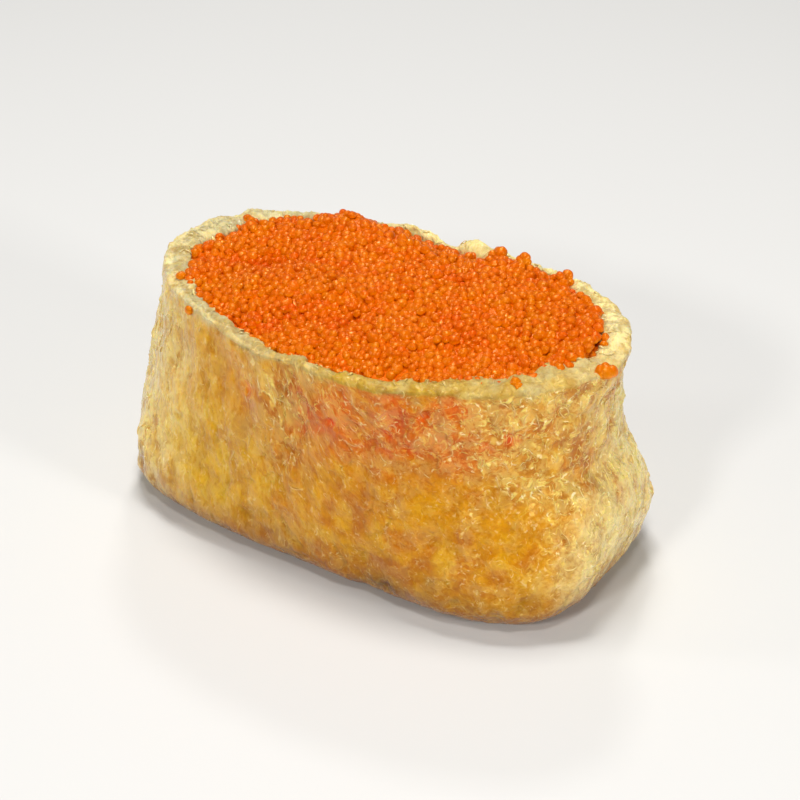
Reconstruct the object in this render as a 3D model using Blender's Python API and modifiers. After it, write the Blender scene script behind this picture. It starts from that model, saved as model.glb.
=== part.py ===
"""Open-topped inari sushi: a pouch of fried tofu skin, filled to a low heap with fish roe.

Metres, +Z up. The origin is the middle of the footprint, on the surface that the sushi stands on.
+X runs along the length, towards the end that bulges out low down. The front is towards -Y.
The dimensions below are in millimetres.
"""

import math

import bmesh
import bpy

MM = 0.001

# ---------------------------------------------------------------- dimensions
POUCH_HEIGHT = 33.2  # mean height of the rim
# The wall, from the base up: share of the height, half length to the right,
# half length to the left, half width, and the superellipse's squareness.
WALL_SECTIONS = (
    (0.00, 35.0, 34.2, 18.3, 3.9),
    (0.20, 36.2, 34.3, 19.2, 3.6),
    (0.40, 36.6, 34.0, 18.8, 2.9),
    (0.60, 34.2, 32.7, 18.7, 2.5),
    (0.80, 33.4, 32.0, 18.6, 2.3),
    (1.00, 34.8, 31.4, 19.3, 2.0),
)
FOOT_RADIUS = 4.6  # rounding where the wall turns under into the base
# It stands on its flat base and on the base's four corners. Between them the edge is lifted.
CORNERS = (28.0, 152.0, -152.0, -28.0)  # degrees
CORNER_WIDTH = 5  # stations from a corner to the fully lifted edge
EDGE_LIFT = 0.3
# The rim rises and dips: waves round the pouch, cosine and sine amplitude.
RIM_WAVES = ((1, 0.78, -0.21), (2, 0.55, 0.21), (3, 0.04, -0.13), (4, -0.15, -0.10))

WALL_THICKNESS = 2.5  # tofu skin along the sides and under the filling
LIP_THICKNESS = 4.4  # where the cut edge is tucked in, at the two ends
BASE_THICKNESS = 2.5

# Folds of the skin: direction from the middle in degrees, share of the height,
# half width in mm, half height as a share, and how far it swells in mm.
FOLDS = (
    (-14.5, 0.38, 1.7, 0.09, 0.7),  # upright edge of the gathered corner on the right
    (-5.0, 0.50, 5.5, 0.05, 0.5),  # the roll over that corner
    (-4.0, 0.60, 8.0, 0.05, -0.6),  # crease above the roll
    (-31.0, 0.61, 7.5, 0.05, -0.45),  # the crease carried on along the front
    (-22.0, 0.86, 4.0, 0.10, 0.35),
    (-10.0, 0.24, 5.5, 0.10, 0.5),  # belly of the corner
    (-45.0, 0.34, 8.0, 0.16, 0.45),  # belly of the front
    (-61.0, 0.70, 1.6, 0.13, -0.5),  # upright crease in the front, above and below
    (-62.5, 0.22, 1.6, 0.14, -0.55),
    (-56.0, 0.12, 2.4, 0.05, -0.5),
    (-72.0, 0.68, 1.7, 0.10, 0.4),
    (-66.0, 0.38, 1.7, 0.12, -0.4),
    (-82.0, 0.30, 6.0, 0.18, 0.4),
    (-92.0, 0.72, 1.8, 0.12, -0.5),  # pleats under the rim, front left
    (-100.0, 0.66, 1.7, 0.13, 0.55),
    (-107.0, 0.84, 1.9, 0.10, 0.55),
    (-112.0, 0.76, 1.7, 0.10, -0.5),
    (-120.0, 0.62, 2.2, 0.14, 0.4),
    (-126.0, 0.82, 2.2, 0.10, -0.45),
    (-134.0, 0.70, 2.2, 0.12, 0.45),
    (-128.0, 0.30, 5.0, 0.16, 0.4),
    (-143.0, 0.76, 2.0, 0.16, -0.4),
    (-151.0, 0.58, 2.4, 0.20, 0.5),
    (-160.0, 0.40, 2.4, 0.18, -0.45),
    (-169.0, 0.60, 2.6, 0.22, 0.45),
    (-178.0, 0.34, 2.4, 0.20, -0.4),
    (12.0, 0.36, 2.2, 0.16, -0.5),  # the same kinds of fold, as they run on round the back
    (22.0, 0.30, 3.5, 0.20, 0.5),
    (34.0, 0.60, 5.5, 0.06, -0.45),
    (44.0, 0.34, 5.0, 0.16, 0.4),
    (56.0, 0.72, 1.8, 0.14, -0.45),
    (66.0, 0.66, 2.0, 0.14, 0.4),
    (74.0, 0.24, 1.8, 0.14, -0.45),
    (84.0, 0.36, 5.0, 0.16, 0.45),
    (92.0, 0.78, 1.8, 0.12, -0.5),
    (103.0, 0.66, 2.0, 0.16, 0.45),
    (113.0, 0.30, 2.0, 0.14, -0.4),
    (121.0, 0.76, 2.2, 0.14, 0.4),
    (131.0, 0.64, 2.0, 0.16, -0.45),
    (143.0, 0.40, 3.6, 0.18, 0.4),
    (154.0, 0.68, 2.2, 0.16, 0.4),
    (165.0, 0.50, 2.2, 0.20, -0.4),
)
# The torn edge: notches and peaks of the rim, as direction, half width in mm, height in mm.
RIM_TEARS = (
    (91.0, 1.9, -1.4),
    (82.0, 1.9, 0.8),
    (104.0, 2.2, 0.3),
    (59.0, 2.0, -0.4),
    (38.0, 2.4, 0.4),
    (14.0, 2.2, 0.5),
    (3.0, 2.0, -0.4),
    (-13.0, 2.4, 0.4),
    (-40.0, 2.2, 0.25),
    (-58.0, 2.2, -0.3),
    (-84.0, 2.2, 0.25),
    (-112.0, 2.2, -0.3),
    (-133.0, 2.2, 0.3),
    (-155.0, 2.2, -0.4),
    (-170.0, 2.2, 0.4),
    (168.0, 2.2, 0.3),
    (152.0, 2.4, -0.6),
    (132.0, 2.4, -0.3),
)

ROE_GAP = 0.6  # clear of the skin all round
# How far the roe's edge lies below the rim: mean, then direction, half width in mm, depth in mm.
ROE_EDGE_DIP = 0.75
ROE_EDGE_HOLLOWS = ((82.0, 5.0, 1.3), (168.0, 7.0, 1.0), (150.0, 4.0, 0.5), (-170.0, 4.0, 0.5))
ROE_CROWN = 0.9  # how far its middle lies above the mean rim
# Dips and mounds of the heap: x, y, direction in degrees, half length, half width, height.
ROE_RELIEF = (
    (-18.0, -3.5, 75.0, 6.5, 2.6, -1.2),  # furrow at the left end
    (-10.5, -5.5, 20.0, 6.0, 2.2, 0.6),
    (-9.0, 3.5, 10.0, 7.0, 2.4, -0.5),
    (-8.0, 12.0, 0.0, 7.0, 2.6, 0.9),  # mound against the back rim
    (2.5, -5.5, 40.0, 3.6, 2.0, -0.8),
    (7.0, 1.5, 15.0, 6.0, 2.6, 0.4),
    (14.0, 9.5, -20.0, 7.0, 2.4, 0.6),
    (20.0, 2.0, 80.0, 3.4, 2.0, -0.7),
    (27.5, 0.5, 60.0, 3.0, 2.0, -0.8),
    (20.0, -8.0, 10.0, 4.0, 2.0, -0.5),
    (-8.5, -12.0, 10.0, 3.4, 2.0, -0.7),
    (12.0, -9.0, 20.0, 5.0, 2.4, 0.4),
    (3.0, 13.0, 0.0, 3.4, 2.2, -0.7),
)

STATIONS = 80  # points round each section
WALL_LEVELS = (0.20, 0.27, 0.34, 0.41, 0.48, 0.55, 0.62, 0.69, 0.76, 0.83, 0.91, 1.0)
FOOT_STEPS = (0.0, 22.5, 45.0, 67.5, 90.0)  # degrees round the foot's rounding
LIP_BEVEL = 0.8  # rounding of the rim's two edges


# ---------------------------------------------------------------- form
def eased(table, column, share):
    """A column of the wall table at a share of the height, as a smooth curve through its rows."""
    rows = len(table)
    i = max(k for k in range(rows - 1) if table[k][0] <= share or k == 0)
    x0, x1 = table[i][0], table[i + 1][0]
    y0, y1 = table[i][column], table[i + 1][column]

    def slope(k):
        a, b = max(k - 1, 0), min(k + 1, rows - 1)
        return (table[b][column] - table[a][column]) / (table[b][0] - table[a][0])

    h = x1 - x0
    s = (share - x0) / h
    return (
        (2 * s**3 - 3 * s**2 + 1) * y0
        + (s**3 - 2 * s**2 + s) * h * slope(i)
        + (3 * s**2 - 2 * s**3) * y1
        + (s**3 - s**2) * h * slope(i + 1)
    )


def section_radius(share, angle):
    """Distance of the outer skin from the middle, before the folds."""
    right = math.cos(angle) > 0
    a = eased(WALL_SECTIONS, 1 if right else 2, share)
    b = eased(WALL_SECTIONS, 3, share)
    n = eased(WALL_SECTIONS, 4, share)
    return (abs(math.cos(angle) / a) ** n + abs(math.sin(angle) / b) ** n) ** (-1 / n)


def bump(offset, half_width):
    return math.exp(-0.5 * (offset / half_width) ** 2)


def across(share, angle, direction):
    """Distance in mm, round the pouch, from this direction."""
    return math.radians(math.remainder(math.degrees(angle) - direction, 360.0)) * section_radius(
        share, angle
    )


def folds(share, angle):
    """How far the folds of the skin stand out here."""
    return sum(
        swell * bump(across(share, angle, direction), wide) * bump(share - height, tall)
        for direction, height, wide, tall, swell in FOLDS
    )


def rim_rise(angle):
    """How far the rim lies above its mean height in this direction."""
    a = WALL_SECTIONS[-1][1 if math.cos(angle) > 0 else 2]
    b = WALL_SECTIONS[-1][3]
    turn = math.atan2(math.sin(angle) / b, math.cos(angle) / a)
    return sum(c * math.cos(k * turn) + s * math.sin(k * turn) for k, c, s in RIM_WAVES)


def rim_tear(angle):
    """How far the torn edge stands above or below that."""
    return sum(
        height * bump(across(1.0, angle, direction), wide) for direction, wide, height in RIM_TEARS
    )


def outline(share, angle):
    """A point of the outer skin, as x and y."""
    r = section_radius(share, angle) + folds(share, angle)
    return r * math.cos(angle), r * math.sin(angle)


def inset(share, angle, distance):
    """That point moved inwards, square to the section's outline."""
    step = 0.02
    x0, y0 = outline(share, angle - step)
    x1, y1 = outline(share, angle + step)
    x, y = outline(share, angle)
    tx, ty = x1 - x0, y1 - y0
    length = math.hypot(tx, ty)
    return x - ty / length * distance, y + tx / length * distance


def level(share, angle):
    """Height of a section that lies at this share of the wall."""
    return POUCH_HEIGHT * share + rim_rise(angle) * share**2 + rim_tear(angle) * share**10


def skin_thickness(share, angle):
    """Thickness of the skin: the cut edge is tucked in at the two ends, which doubles it there."""
    tuck = abs(math.cos(angle)) ** 6 * max(0.0, (share - 0.55) / 0.45) ** 2
    return WALL_THICKNESS + (LIP_THICKNESS - WALL_THICKNESS) * tuck


def room(share, angle):
    """How far in from the outer skin the roe starts: farther where the wall slants."""
    step = 0.02
    low = math.hypot(*outline(max(share - step, 0.0), angle))
    high = math.hypot(*outline(min(share + step, 1.0), angle))
    slant = (high - low) / (level(min(share + step, 1.0), angle) - level(max(share - step, 0.0), angle))
    return (skin_thickness(share, angle) + ROE_GAP) * math.sqrt(1 + slant * slant)


def stations():
    """Directions spaced evenly along the pouch's outline at half height."""
    fine = 2048
    angles = [2 * math.pi * k / fine for k in range(fine + 1)]
    points = [outline(0.5, a) for a in angles]
    run = [0.0]
    for p, q in zip(points, points[1:]):
        run.append(run[-1] + math.dist(p, q))
    found, k = [], 0
    for i in range(STATIONS):
        want = run[-1] * i / STATIONS
        while run[k + 1] <= want:
            k += 1
        part = (want - run[k]) / (run[k + 1] - run[k])
        found.append(angles[k] + part * (angles[k + 1] - angles[k]))
    return found


def foot_share(radius, degrees):
    """Share of the height and inset of a point on the rounding between base and wall."""
    rise = radius * (1 - math.cos(math.radians(degrees)))
    return rise / POUCH_HEIGHT, radius * (1 - math.sin(math.radians(degrees)))


def edge_lift(directions):
    """Height of the base's edge at each station: none at the four corners."""
    corners = [
        min(range(STATIONS), key=lambda i: abs(math.remainder(math.degrees(directions[i]) - c, 360.0)))
        for c in CORNERS
    ]
    lifted = []
    for i in range(STATIONS):
        away = min(abs(math.remainder(i - c, STATIONS)) for c in corners)
        lifted.append(EDGE_LIFT * (1 - math.cos(math.pi * min(away / CORNER_WIDTH, 1.0))) / 2)
    return lifted


def roe_edge(angle):
    """Height of the roe's edge, where it meets the skin."""
    hollow = sum(
        depth * bump(across(1.0, angle, direction), wide)
        for direction, wide, depth in ROE_EDGE_HOLLOWS
    )
    return POUCH_HEIGHT + rim_rise(angle) - ROE_EDGE_DIP - hollow


def roe_height(x, y, edge_height, spread):
    """Height of the heap at x, y. spread is 0 in the middle and 1 at its edge."""
    crown = POUCH_HEIGHT + ROE_CROWN
    z = crown + (edge_height - crown) * spread**2.4
    fade = 1 - 0.75 * spread**6
    for cx, cy, direction, long, wide, height in ROE_RELIEF:
        c, s = math.cos(math.radians(direction)), math.sin(math.radians(direction))
        u = ((x - cx) * c + (y - cy) * s) / long
        v = (-(x - cx) * s + (y - cy) * c) / wide
        z += fade * height * math.exp(-0.5 * (u * u + v * v))
    return z


# ---------------------------------------------------------------- Blender helpers
def clear_scene():
    for obj in list(bpy.data.objects):
        bpy.data.objects.remove(obj, do_unlink=True)
    for collection in list(bpy.data.collections):
        bpy.data.collections.remove(collection)


def new_collection(name):
    collection = bpy.data.collections.new(name)
    bpy.context.scene.collection.children.link(collection)
    return collection


def make_material(name, colour, roughness, metallic=0.0, subsurface=0.0):
    material = bpy.data.materials.new(name)
    material.use_nodes = True
    shader = material.node_tree.nodes["Principled BSDF"]
    shader.inputs["Base Color"].default_value = (*colour, 1.0)
    shader.inputs["Roughness"].default_value = roughness
    shader.inputs["Metallic"].default_value = metallic
    shader.inputs["Subsurface Weight"].default_value = subsurface
    material.diffuse_color = (*colour, 1.0)
    return material


def lofted(name, rings, collection, material, close_first=False, close_last=False):
    """A mesh that runs through rings of points, each with as many points as the next."""
    bm = bmesh.new()
    loops = [[bm.verts.new([c * MM for c in point]) for point in ring] for ring in rings]
    count = len(rings[0])
    for lower, upper in zip(loops, loops[1:]):
        for i in range(count):
            j = (i + 1) % count
            bm.faces.new((lower[i], lower[j], upper[j], upper[i]))
    if close_first:
        bm.faces.new(list(reversed(loops[0])))
    if close_last:
        bm.faces.new(loops[-1])
    bmesh.ops.recalc_face_normals(bm, faces=bm.faces)
    mesh = bpy.data.meshes.new(name)
    bm.to_mesh(mesh)
    bm.free()
    mesh.shade_smooth()
    obj = bpy.data.objects.new(name, mesh)
    obj.data.materials.append(material)
    collection.objects.link(obj)
    return obj


# ---------------------------------------------------------------- the pouch
def build_pouch(collection, material):
    """The skin's outer face, thickened inwards, with the rim's edges rounded."""
    directions = stations()
    rings, thickness = [], []
    start, _ = foot_share(FOOT_RADIUS, 0.0)
    edge = [inset(start, a, FOOT_RADIUS) for a in directions]
    for scale in (0.30, 0.68):
        rings.append([(x * scale, y * scale, 0.0) for x, y in edge])
        thickness.append([BASE_THICKNESS] * STATIONS)
    lifted = edge_lift(directions)
    for degrees in FOOT_STEPS:
        share, pulled_in = foot_share(FOOT_RADIUS, degrees)
        rings.append(
            [
                (*inset(share, a, pulled_in), max(level(share, a), lift))
                for a, lift in zip(directions, lifted)
            ]
        )
        thickness.append([WALL_THICKNESS] * STATIONS)
    for share in WALL_LEVELS:
        rings.append([(*outline(share, a), level(share, a)) for a in directions])
        thickness.append([skin_thickness(share, a) for a in directions])
    pouch = lofted("tofu_pouch", rings, collection, material, close_first=True)

    group = pouch.vertex_groups.new(name="thickness")
    for ring, row in enumerate(thickness):
        for i, value in enumerate(row):
            group.add([ring * STATIONS + i], value / LIP_THICKNESS, "REPLACE")
    shell = pouch.modifiers.new("skin", "SOLIDIFY")
    shell.thickness = LIP_THICKNESS * MM
    shell.offset = -1.0
    shell.use_even_offset = True
    shell.vertex_group = group.name
    rounding = pouch.modifiers.new("lip", "BEVEL")
    rounding.width = LIP_BEVEL * MM
    rounding.segments = 2
    rounding.limit_method = "ANGLE"
    rounding.angle_limit = math.radians(60.0)
    rounding.use_clamp_overlap = False
    return pouch


# ---------------------------------------------------------------- the roe
def build_roe(collection, material):
    """One solid from the pouch's floor up to the uneven top of the heap."""
    directions = stations()
    floor = BASE_THICKNESS + ROE_GAP
    clear = WALL_THICKNESS + ROE_GAP
    radius = FOOT_RADIUS - clear + 1.0
    rings = []
    bottom = [inset(floor / POUCH_HEIGHT, a, clear + radius) for a in directions]
    for scale in (0.35, 0.72):
        rings.append([(x * scale, y * scale, floor) for x, y in bottom])
    for degrees in FOOT_STEPS:
        rise, pulled_in = foot_share(radius, degrees)
        share = floor / POUCH_HEIGHT + rise
        rings.append(
            [(*inset(share, a, clear + pulled_in), level(share, a)) for a in directions]
        )
    for share in WALL_LEVELS[1:-2]:
        rings.append([(*inset(share, a, room(share, a)), level(share, a)) for a in directions])
    edge = []
    for a in directions:
        x, y = inset(1.0, a, skin_thickness(1.0, a) + ROE_GAP)
        edge.append((x, y, roe_edge(a)))
    rings.append(edge)
    for spread in (0.90, 0.75, 0.59, 0.42, 0.25, 0.09):
        ring = []
        for x, y, z in edge:
            px, py = x * spread, y * spread
            ring.append((px, py, roe_height(px, py, z, spread)))
        rings.append(ring)
    roe = lofted("roe_filling", rings, collection, material, close_first=True, close_last=True)
    return roe


def centre_footprint(objects):
    """Moves the meshes sideways, so that the whole stands evenly over the origin."""
    bpy.context.view_layer.update()
    graph = bpy.context.evaluated_depsgraph_get()
    corners = [
        corner for obj in objects for corner in obj.evaluated_get(graph).bound_box
    ]
    shift = [
        -(max(c[axis] for c in corners) + min(c[axis] for c in corners)) / 2
        for axis in (0, 1)
    ]
    for obj in objects:
        for vertex in obj.data.vertices:
            vertex.co.x += shift[0]
            vertex.co.y += shift[1]
    print("footprint moved by", [round(s / MM, 3) for s in shift], "mm")


def main():
    clear_scene()
    inari = new_collection("inari_sushi")
    fried_tofu = make_material("fried_tofu", (0.66, 0.40, 0.10), 0.42, subsurface=0.2)
    fish_roe = make_material("fish_roe", (0.90, 0.20, 0.01), 0.22, subsurface=0.3)
    pouch = build_pouch(inari, fried_tofu)
    roe = build_roe(inari, fish_roe)
    centre_footprint([pouch, roe])


main()
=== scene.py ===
"""Looks of the inari sushi: a wet, wrinkled pouch of fried tofu skin, heaped with orange fish roe.

The skin is one fine mesh over the same form as the CAD pouch, with the sponge's cells raised on it.
The roe is packed egg by egg over a smaller core. Lengths are in millimetres until a mesh is made.
"""

import math

import bmesh
import bpy
import numpy as np
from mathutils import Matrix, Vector


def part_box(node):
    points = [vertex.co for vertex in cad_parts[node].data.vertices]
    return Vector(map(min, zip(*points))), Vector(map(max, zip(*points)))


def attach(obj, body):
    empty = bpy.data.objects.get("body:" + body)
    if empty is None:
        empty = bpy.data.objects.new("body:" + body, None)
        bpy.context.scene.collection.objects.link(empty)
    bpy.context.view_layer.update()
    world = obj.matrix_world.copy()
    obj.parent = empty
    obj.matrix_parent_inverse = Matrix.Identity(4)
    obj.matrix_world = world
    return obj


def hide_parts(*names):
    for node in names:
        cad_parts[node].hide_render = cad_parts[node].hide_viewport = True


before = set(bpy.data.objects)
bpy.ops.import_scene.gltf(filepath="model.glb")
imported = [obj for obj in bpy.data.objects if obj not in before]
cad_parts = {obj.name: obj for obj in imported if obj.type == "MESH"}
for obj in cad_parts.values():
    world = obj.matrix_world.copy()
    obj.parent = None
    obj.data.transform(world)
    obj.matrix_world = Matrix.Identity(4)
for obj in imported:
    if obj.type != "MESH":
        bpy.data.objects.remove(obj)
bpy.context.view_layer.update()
MM = 0.001
SEED = 20331

# ---------------------------------------------------------------- the form, as in the CAD
HEIGHT = 33.2
WALL = np.array(
    (
        (0.00, 35.0, 34.2, 18.3, 3.9),
        (0.20, 36.2, 34.3, 19.2, 3.6),
        (0.40, 36.6, 34.0, 18.8, 2.9),
        (0.60, 34.2, 32.7, 18.7, 2.5),
        (0.80, 33.4, 32.0, 18.6, 2.3),
        (1.00, 34.8, 31.4, 19.3, 2.0),
    )
)
FOOT_RADIUS = 4.6
RIM_WAVES = ((1, 0.78, -0.21), (2, 0.55, 0.21), (3, 0.04, -0.13), (4, -0.15, -0.10))
SKIN, LIP, FLOOR = 2.5, 4.4, 2.5
FOLDS = (
    (-14.5, 0.38, 1.7, 0.09, 0.7),
    (-5.0, 0.50, 5.5, 0.05, 0.5),
    (-4.0, 0.60, 8.0, 0.05, -0.6),
    (-31.0, 0.61, 7.5, 0.05, -0.45),
    (-22.0, 0.86, 4.0, 0.10, 0.35),
    (-10.0, 0.24, 5.5, 0.10, 0.5),
    (-45.0, 0.34, 8.0, 0.16, 0.45),
    (-61.0, 0.70, 1.6, 0.13, -0.5),
    (-62.5, 0.22, 1.6, 0.14, -0.55),
    (-56.0, 0.12, 2.4, 0.05, -0.5),
    (-72.0, 0.68, 1.7, 0.10, 0.4),
    (-66.0, 0.38, 1.7, 0.12, -0.4),
    (-82.0, 0.30, 6.0, 0.18, 0.4),
    (-92.0, 0.72, 1.8, 0.12, -0.5),
    (-100.0, 0.66, 1.7, 0.13, 0.55),
    (-107.0, 0.84, 1.9, 0.10, 0.55),
    (-112.0, 0.76, 1.7, 0.10, -0.5),
    (-120.0, 0.62, 2.2, 0.14, 0.4),
    (-126.0, 0.82, 2.2, 0.10, -0.45),
    (-134.0, 0.70, 2.2, 0.12, 0.45),
    (-128.0, 0.30, 5.0, 0.16, 0.4),
    (-143.0, 0.76, 2.0, 0.16, -0.4),
    (-151.0, 0.58, 2.4, 0.20, 0.5),
    (-160.0, 0.40, 2.4, 0.18, -0.45),
    (-169.0, 0.60, 2.6, 0.22, 0.45),
    (-178.0, 0.34, 2.4, 0.20, -0.4),
    (12.0, 0.36, 2.2, 0.16, -0.5),
    (22.0, 0.30, 3.5, 0.20, 0.5),
    (34.0, 0.60, 5.5, 0.06, -0.45),
    (44.0, 0.34, 5.0, 0.16, 0.4),
    (56.0, 0.72, 1.8, 0.14, -0.45),
    (66.0, 0.66, 2.0, 0.14, 0.4),
    (74.0, 0.24, 1.8, 0.14, -0.45),
    (84.0, 0.36, 5.0, 0.16, 0.45),
    (92.0, 0.78, 1.8, 0.12, -0.5),
    (103.0, 0.66, 2.0, 0.16, 0.45),
    (113.0, 0.30, 2.0, 0.14, -0.4),
    (121.0, 0.76, 2.2, 0.14, 0.4),
    (131.0, 0.64, 2.0, 0.16, -0.45),
    (143.0, 0.40, 3.6, 0.18, 0.4),
    (154.0, 0.68, 2.2, 0.16, 0.4),
    (165.0, 0.50, 2.2, 0.20, -0.4),
)
RIM_TEARS = (
    (91.0, 1.9, -1.4),
    (82.0, 1.9, 0.8),
    (104.0, 2.2, 0.3),
    (59.0, 2.0, -0.4),
    (38.0, 2.4, 0.4),
    (14.0, 2.2, 0.5),
    (3.0, 2.0, -0.4),
    (-13.0, 2.4, 0.4),
    (-40.0, 2.2, 0.25),
    (-58.0, 2.2, -0.3),
    (-84.0, 2.2, 0.25),
    (-112.0, 2.2, -0.3),
    (-133.0, 2.2, 0.3),
    (-155.0, 2.2, -0.4),
    (-170.0, 2.2, 0.4),
    (168.0, 2.2, 0.3),
    (152.0, 2.4, -0.6),
    (132.0, 2.4, -0.3),
)
ROE_EDGE_DIP = 0.75
ROE_EDGE_HOLLOWS = ((82.0, 5.0, 1.3), (168.0, 7.0, 1.0), (150.0, 4.0, 0.5), (-170.0, 4.0, 0.5))
ROE_CROWN = 0.9
ROE_RELIEF = (
    (-18.0, -3.5, 75.0, 6.5, 2.6, -1.2),
    (-10.5, -5.5, 20.0, 6.0, 2.2, 0.6),
    (-9.0, 3.5, 10.0, 7.0, 2.4, -0.5),
    (-8.0, 12.0, 0.0, 7.0, 2.6, 0.9),
    (2.5, -5.5, 40.0, 3.6, 2.0, -0.8),
    (7.0, 1.5, 15.0, 6.0, 2.6, 0.4),
    (14.0, 9.5, -20.0, 7.0, 2.4, 0.6),
    (20.0, 2.0, 80.0, 3.4, 2.0, -0.7),
    (27.5, 0.5, 60.0, 3.0, 2.0, -0.8),
    (20.0, -8.0, 10.0, 4.0, 2.0, -0.5),
    (-8.5, -12.0, 10.0, 3.4, 2.0, -0.7),
    (12.0, -9.0, 20.0, 5.0, 2.4, 0.4),
    (3.0, 13.0, 0.0, 3.4, 2.2, -0.7),
)


def eased(share, column):
    """A column of the wall table at these shares of the height, as a smooth curve."""
    x, y = WALL[:, 0], WALL[:, column]
    m = np.gradient(y, x)
    m[1:-1] = (y[2:] - y[:-2]) / (x[2:] - x[:-2])
    i = np.clip(np.searchsorted(x, share, side="right") - 1, 0, len(x) - 2)
    h = x[i + 1] - x[i]
    s = (share - x[i]) / h
    return (
        (2 * s**3 - 3 * s**2 + 1) * y[i]
        + (s**3 - 2 * s**2 + s) * h * m[i]
        + (3 * s**2 - 2 * s**3) * y[i + 1]
        + (s**3 - s**2) * h * m[i + 1]
    )


def section_radius(share, angle):
    share, angle = np.broadcast_arrays(np.asarray(share, float), np.asarray(angle, float))
    a = np.where(np.cos(angle) > 0, eased(share, 1), eased(share, 2))
    b, n = eased(share, 3), eased(share, 4)
    return (np.abs(np.cos(angle) / a) ** n + np.abs(np.sin(angle) / b) ** n) ** (-1 / n)


def bump(offset, half_width):
    return np.exp(-0.5 * (offset / half_width) ** 2)


def turned(angle, direction):
    """The angle from this direction, between -pi and pi."""
    return (angle - math.radians(direction) + math.pi) % (2 * math.pi) - math.pi


def across(share, angle, direction):
    return turned(angle, direction) * section_radius(share, angle)


def folds(share, angle):
    r = section_radius(share, angle)
    total = np.zeros_like(r)
    for direction, height, wide, tall, swell in FOLDS:
        total += swell * bump(turned(angle, direction) * r, wide) * bump(share - height, tall)
    return total


def rim_rise(angle):
    a = np.where(np.cos(angle) > 0, WALL[-1, 1], WALL[-1, 2])
    turn = np.arctan2(np.sin(angle) / WALL[-1, 3], np.cos(angle) / a)
    return sum(c * np.cos(k * turn) + s * np.sin(k * turn) for k, c, s in RIM_WAVES)


def rim_tear(angle):
    return sum(h * bump(across(1.0, angle, d), w) for d, w, h in RIM_TEARS)


def outline(share, angle):
    r = section_radius(share, angle) + folds(share, angle)
    return np.stack([r * np.cos(angle), r * np.sin(angle)], -1)


def inset(share, angle, distance):
    """A point of the outline moved inwards, square to it."""
    step = 0.02
    t = outline(share, angle + step) - outline(share, angle - step)
    t /= np.linalg.norm(t, axis=-1, keepdims=True)
    p = outline(share, angle)
    d = np.asarray(distance, float)
    return p + np.stack([-t[..., 1] * d, t[..., 0] * d], -1)


def level(share, angle):
    return HEIGHT * share + rim_rise(angle) * share**2 + rim_tear(angle) * share**10


def skin_thickness(share, angle):
    tuck = np.abs(np.cos(angle)) ** 6 * np.clip((share - 0.55) / 0.45, 0, None) ** 2
    return SKIN + (LIP - SKIN) * tuck


def even_stations(count):
    """Directions spaced evenly along the outline at half height."""
    fine = np.linspace(0, 2 * np.pi, 8193)
    p = outline(0.5, fine)
    run = np.concatenate([[0], np.cumsum(np.linalg.norm(np.diff(p, axis=0), axis=1))])
    return np.interp(run[-1] * np.arange(count) / count, run, fine), run[-1]


def roe_edge(angle):
    hollow = sum(depth * bump(across(1.0, angle, d), w) for d, w, depth in ROE_EDGE_HOLLOWS)
    return HEIGHT + rim_rise(angle) - ROE_EDGE_DIP - hollow


def roe_height(x, y, edge_height, spread):
    crown = HEIGHT + ROE_CROWN
    z = crown + (edge_height - crown) * spread**2.4
    fade = 1 - 0.75 * spread**6
    for cx, cy, direction, long, wide, height in ROE_RELIEF:
        c, s = math.cos(math.radians(direction)), math.sin(math.radians(direction))
        u = ((x - cx) * c + (y - cy) * s) / long
        v = (-(x - cx) * s + (y - cy) * c) / wide
        z = z + fade * height * np.exp(-0.5 * (u * u + v * v))
    return z


# ---------------------------------------------------------------- noise
def lattice(ix, iy, iz, seed):
    """A fixed number from 0 to 1 for each point of a lattice."""
    n = (ix * 73856093) ^ (iy * 19349663) ^ (iz * 83492791) ^ (seed * 374761393)
    n = n & 0xFFFFFFFF
    n = ((n ^ (n >> 13)) * 1274126177) & 0xFFFFFFFF
    n = ((n ^ (n >> 15)) * 668265263) & 0xFFFFFFFF
    return (n ^ (n >> 16)).astype(np.float64) / 4294967295.0


def noise(p, seed):
    """Smooth noise from -1 to 1, with features about one unit across."""
    i = np.floor(p).astype(np.int64)
    f = p - i
    w = f * f * f * (f * (f * 6 - 15) + 10)
    total = 0
    for dx in (0, 1):
        for dy in (0, 1):
            for dz in (0, 1):
                weight = (
                    (w[..., 0] if dx else 1 - w[..., 0])
                    * (w[..., 1] if dy else 1 - w[..., 1])
                    * (w[..., 2] if dz else 1 - w[..., 2])
                )
                total = total + weight * lattice(
                    i[..., 0] + dx, i[..., 1] + dy, i[..., 2] + dz, seed
                )
    return 2 * total - 1


def layered(p, seed, octaves=3, gain=0.5):
    total, scale, size = 0, 1.0, 0
    for k in range(octaves):
        total = total + scale * noise(p * 2.03**k + 17.3 * k, seed + 31 * k)
        size += scale
        scale *= gain
    return total / size


def ridged(p, seed, octaves=3):
    """Thin crests, 1 on the crest."""
    total, scale, size = 0, 1.0, 0
    for k in range(octaves):
        total = total + scale * (1 - np.abs(noise(p * 2.1**k + 9.1 * k, seed + 53 * k))) ** 2
        size += scale
        scale *= 0.5
    return total / size


def drift(p, seed):
    """A vector of noise at each point."""
    return np.stack([noise(p + 31.7 * k, seed + 7 * k) for k in range(3)], -1)


def smooth_step(low, high, x):
    t = np.clip((x - low) / (high - low), 0, 1)
    return t * t * (3 - 2 * t)


def linear(*srgb):
    """A colour given as 0 to 255 in sRGB, as linear light."""
    c = np.asarray(srgb, float) / 255
    return np.where(c <= 0.04045, c / 12.92, ((c + 0.055) / 1.055) ** 2.4)


def mix(a, b, amount):
    amount = np.asarray(amount)[..., None]
    return a * (1 - amount) + b * amount


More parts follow.
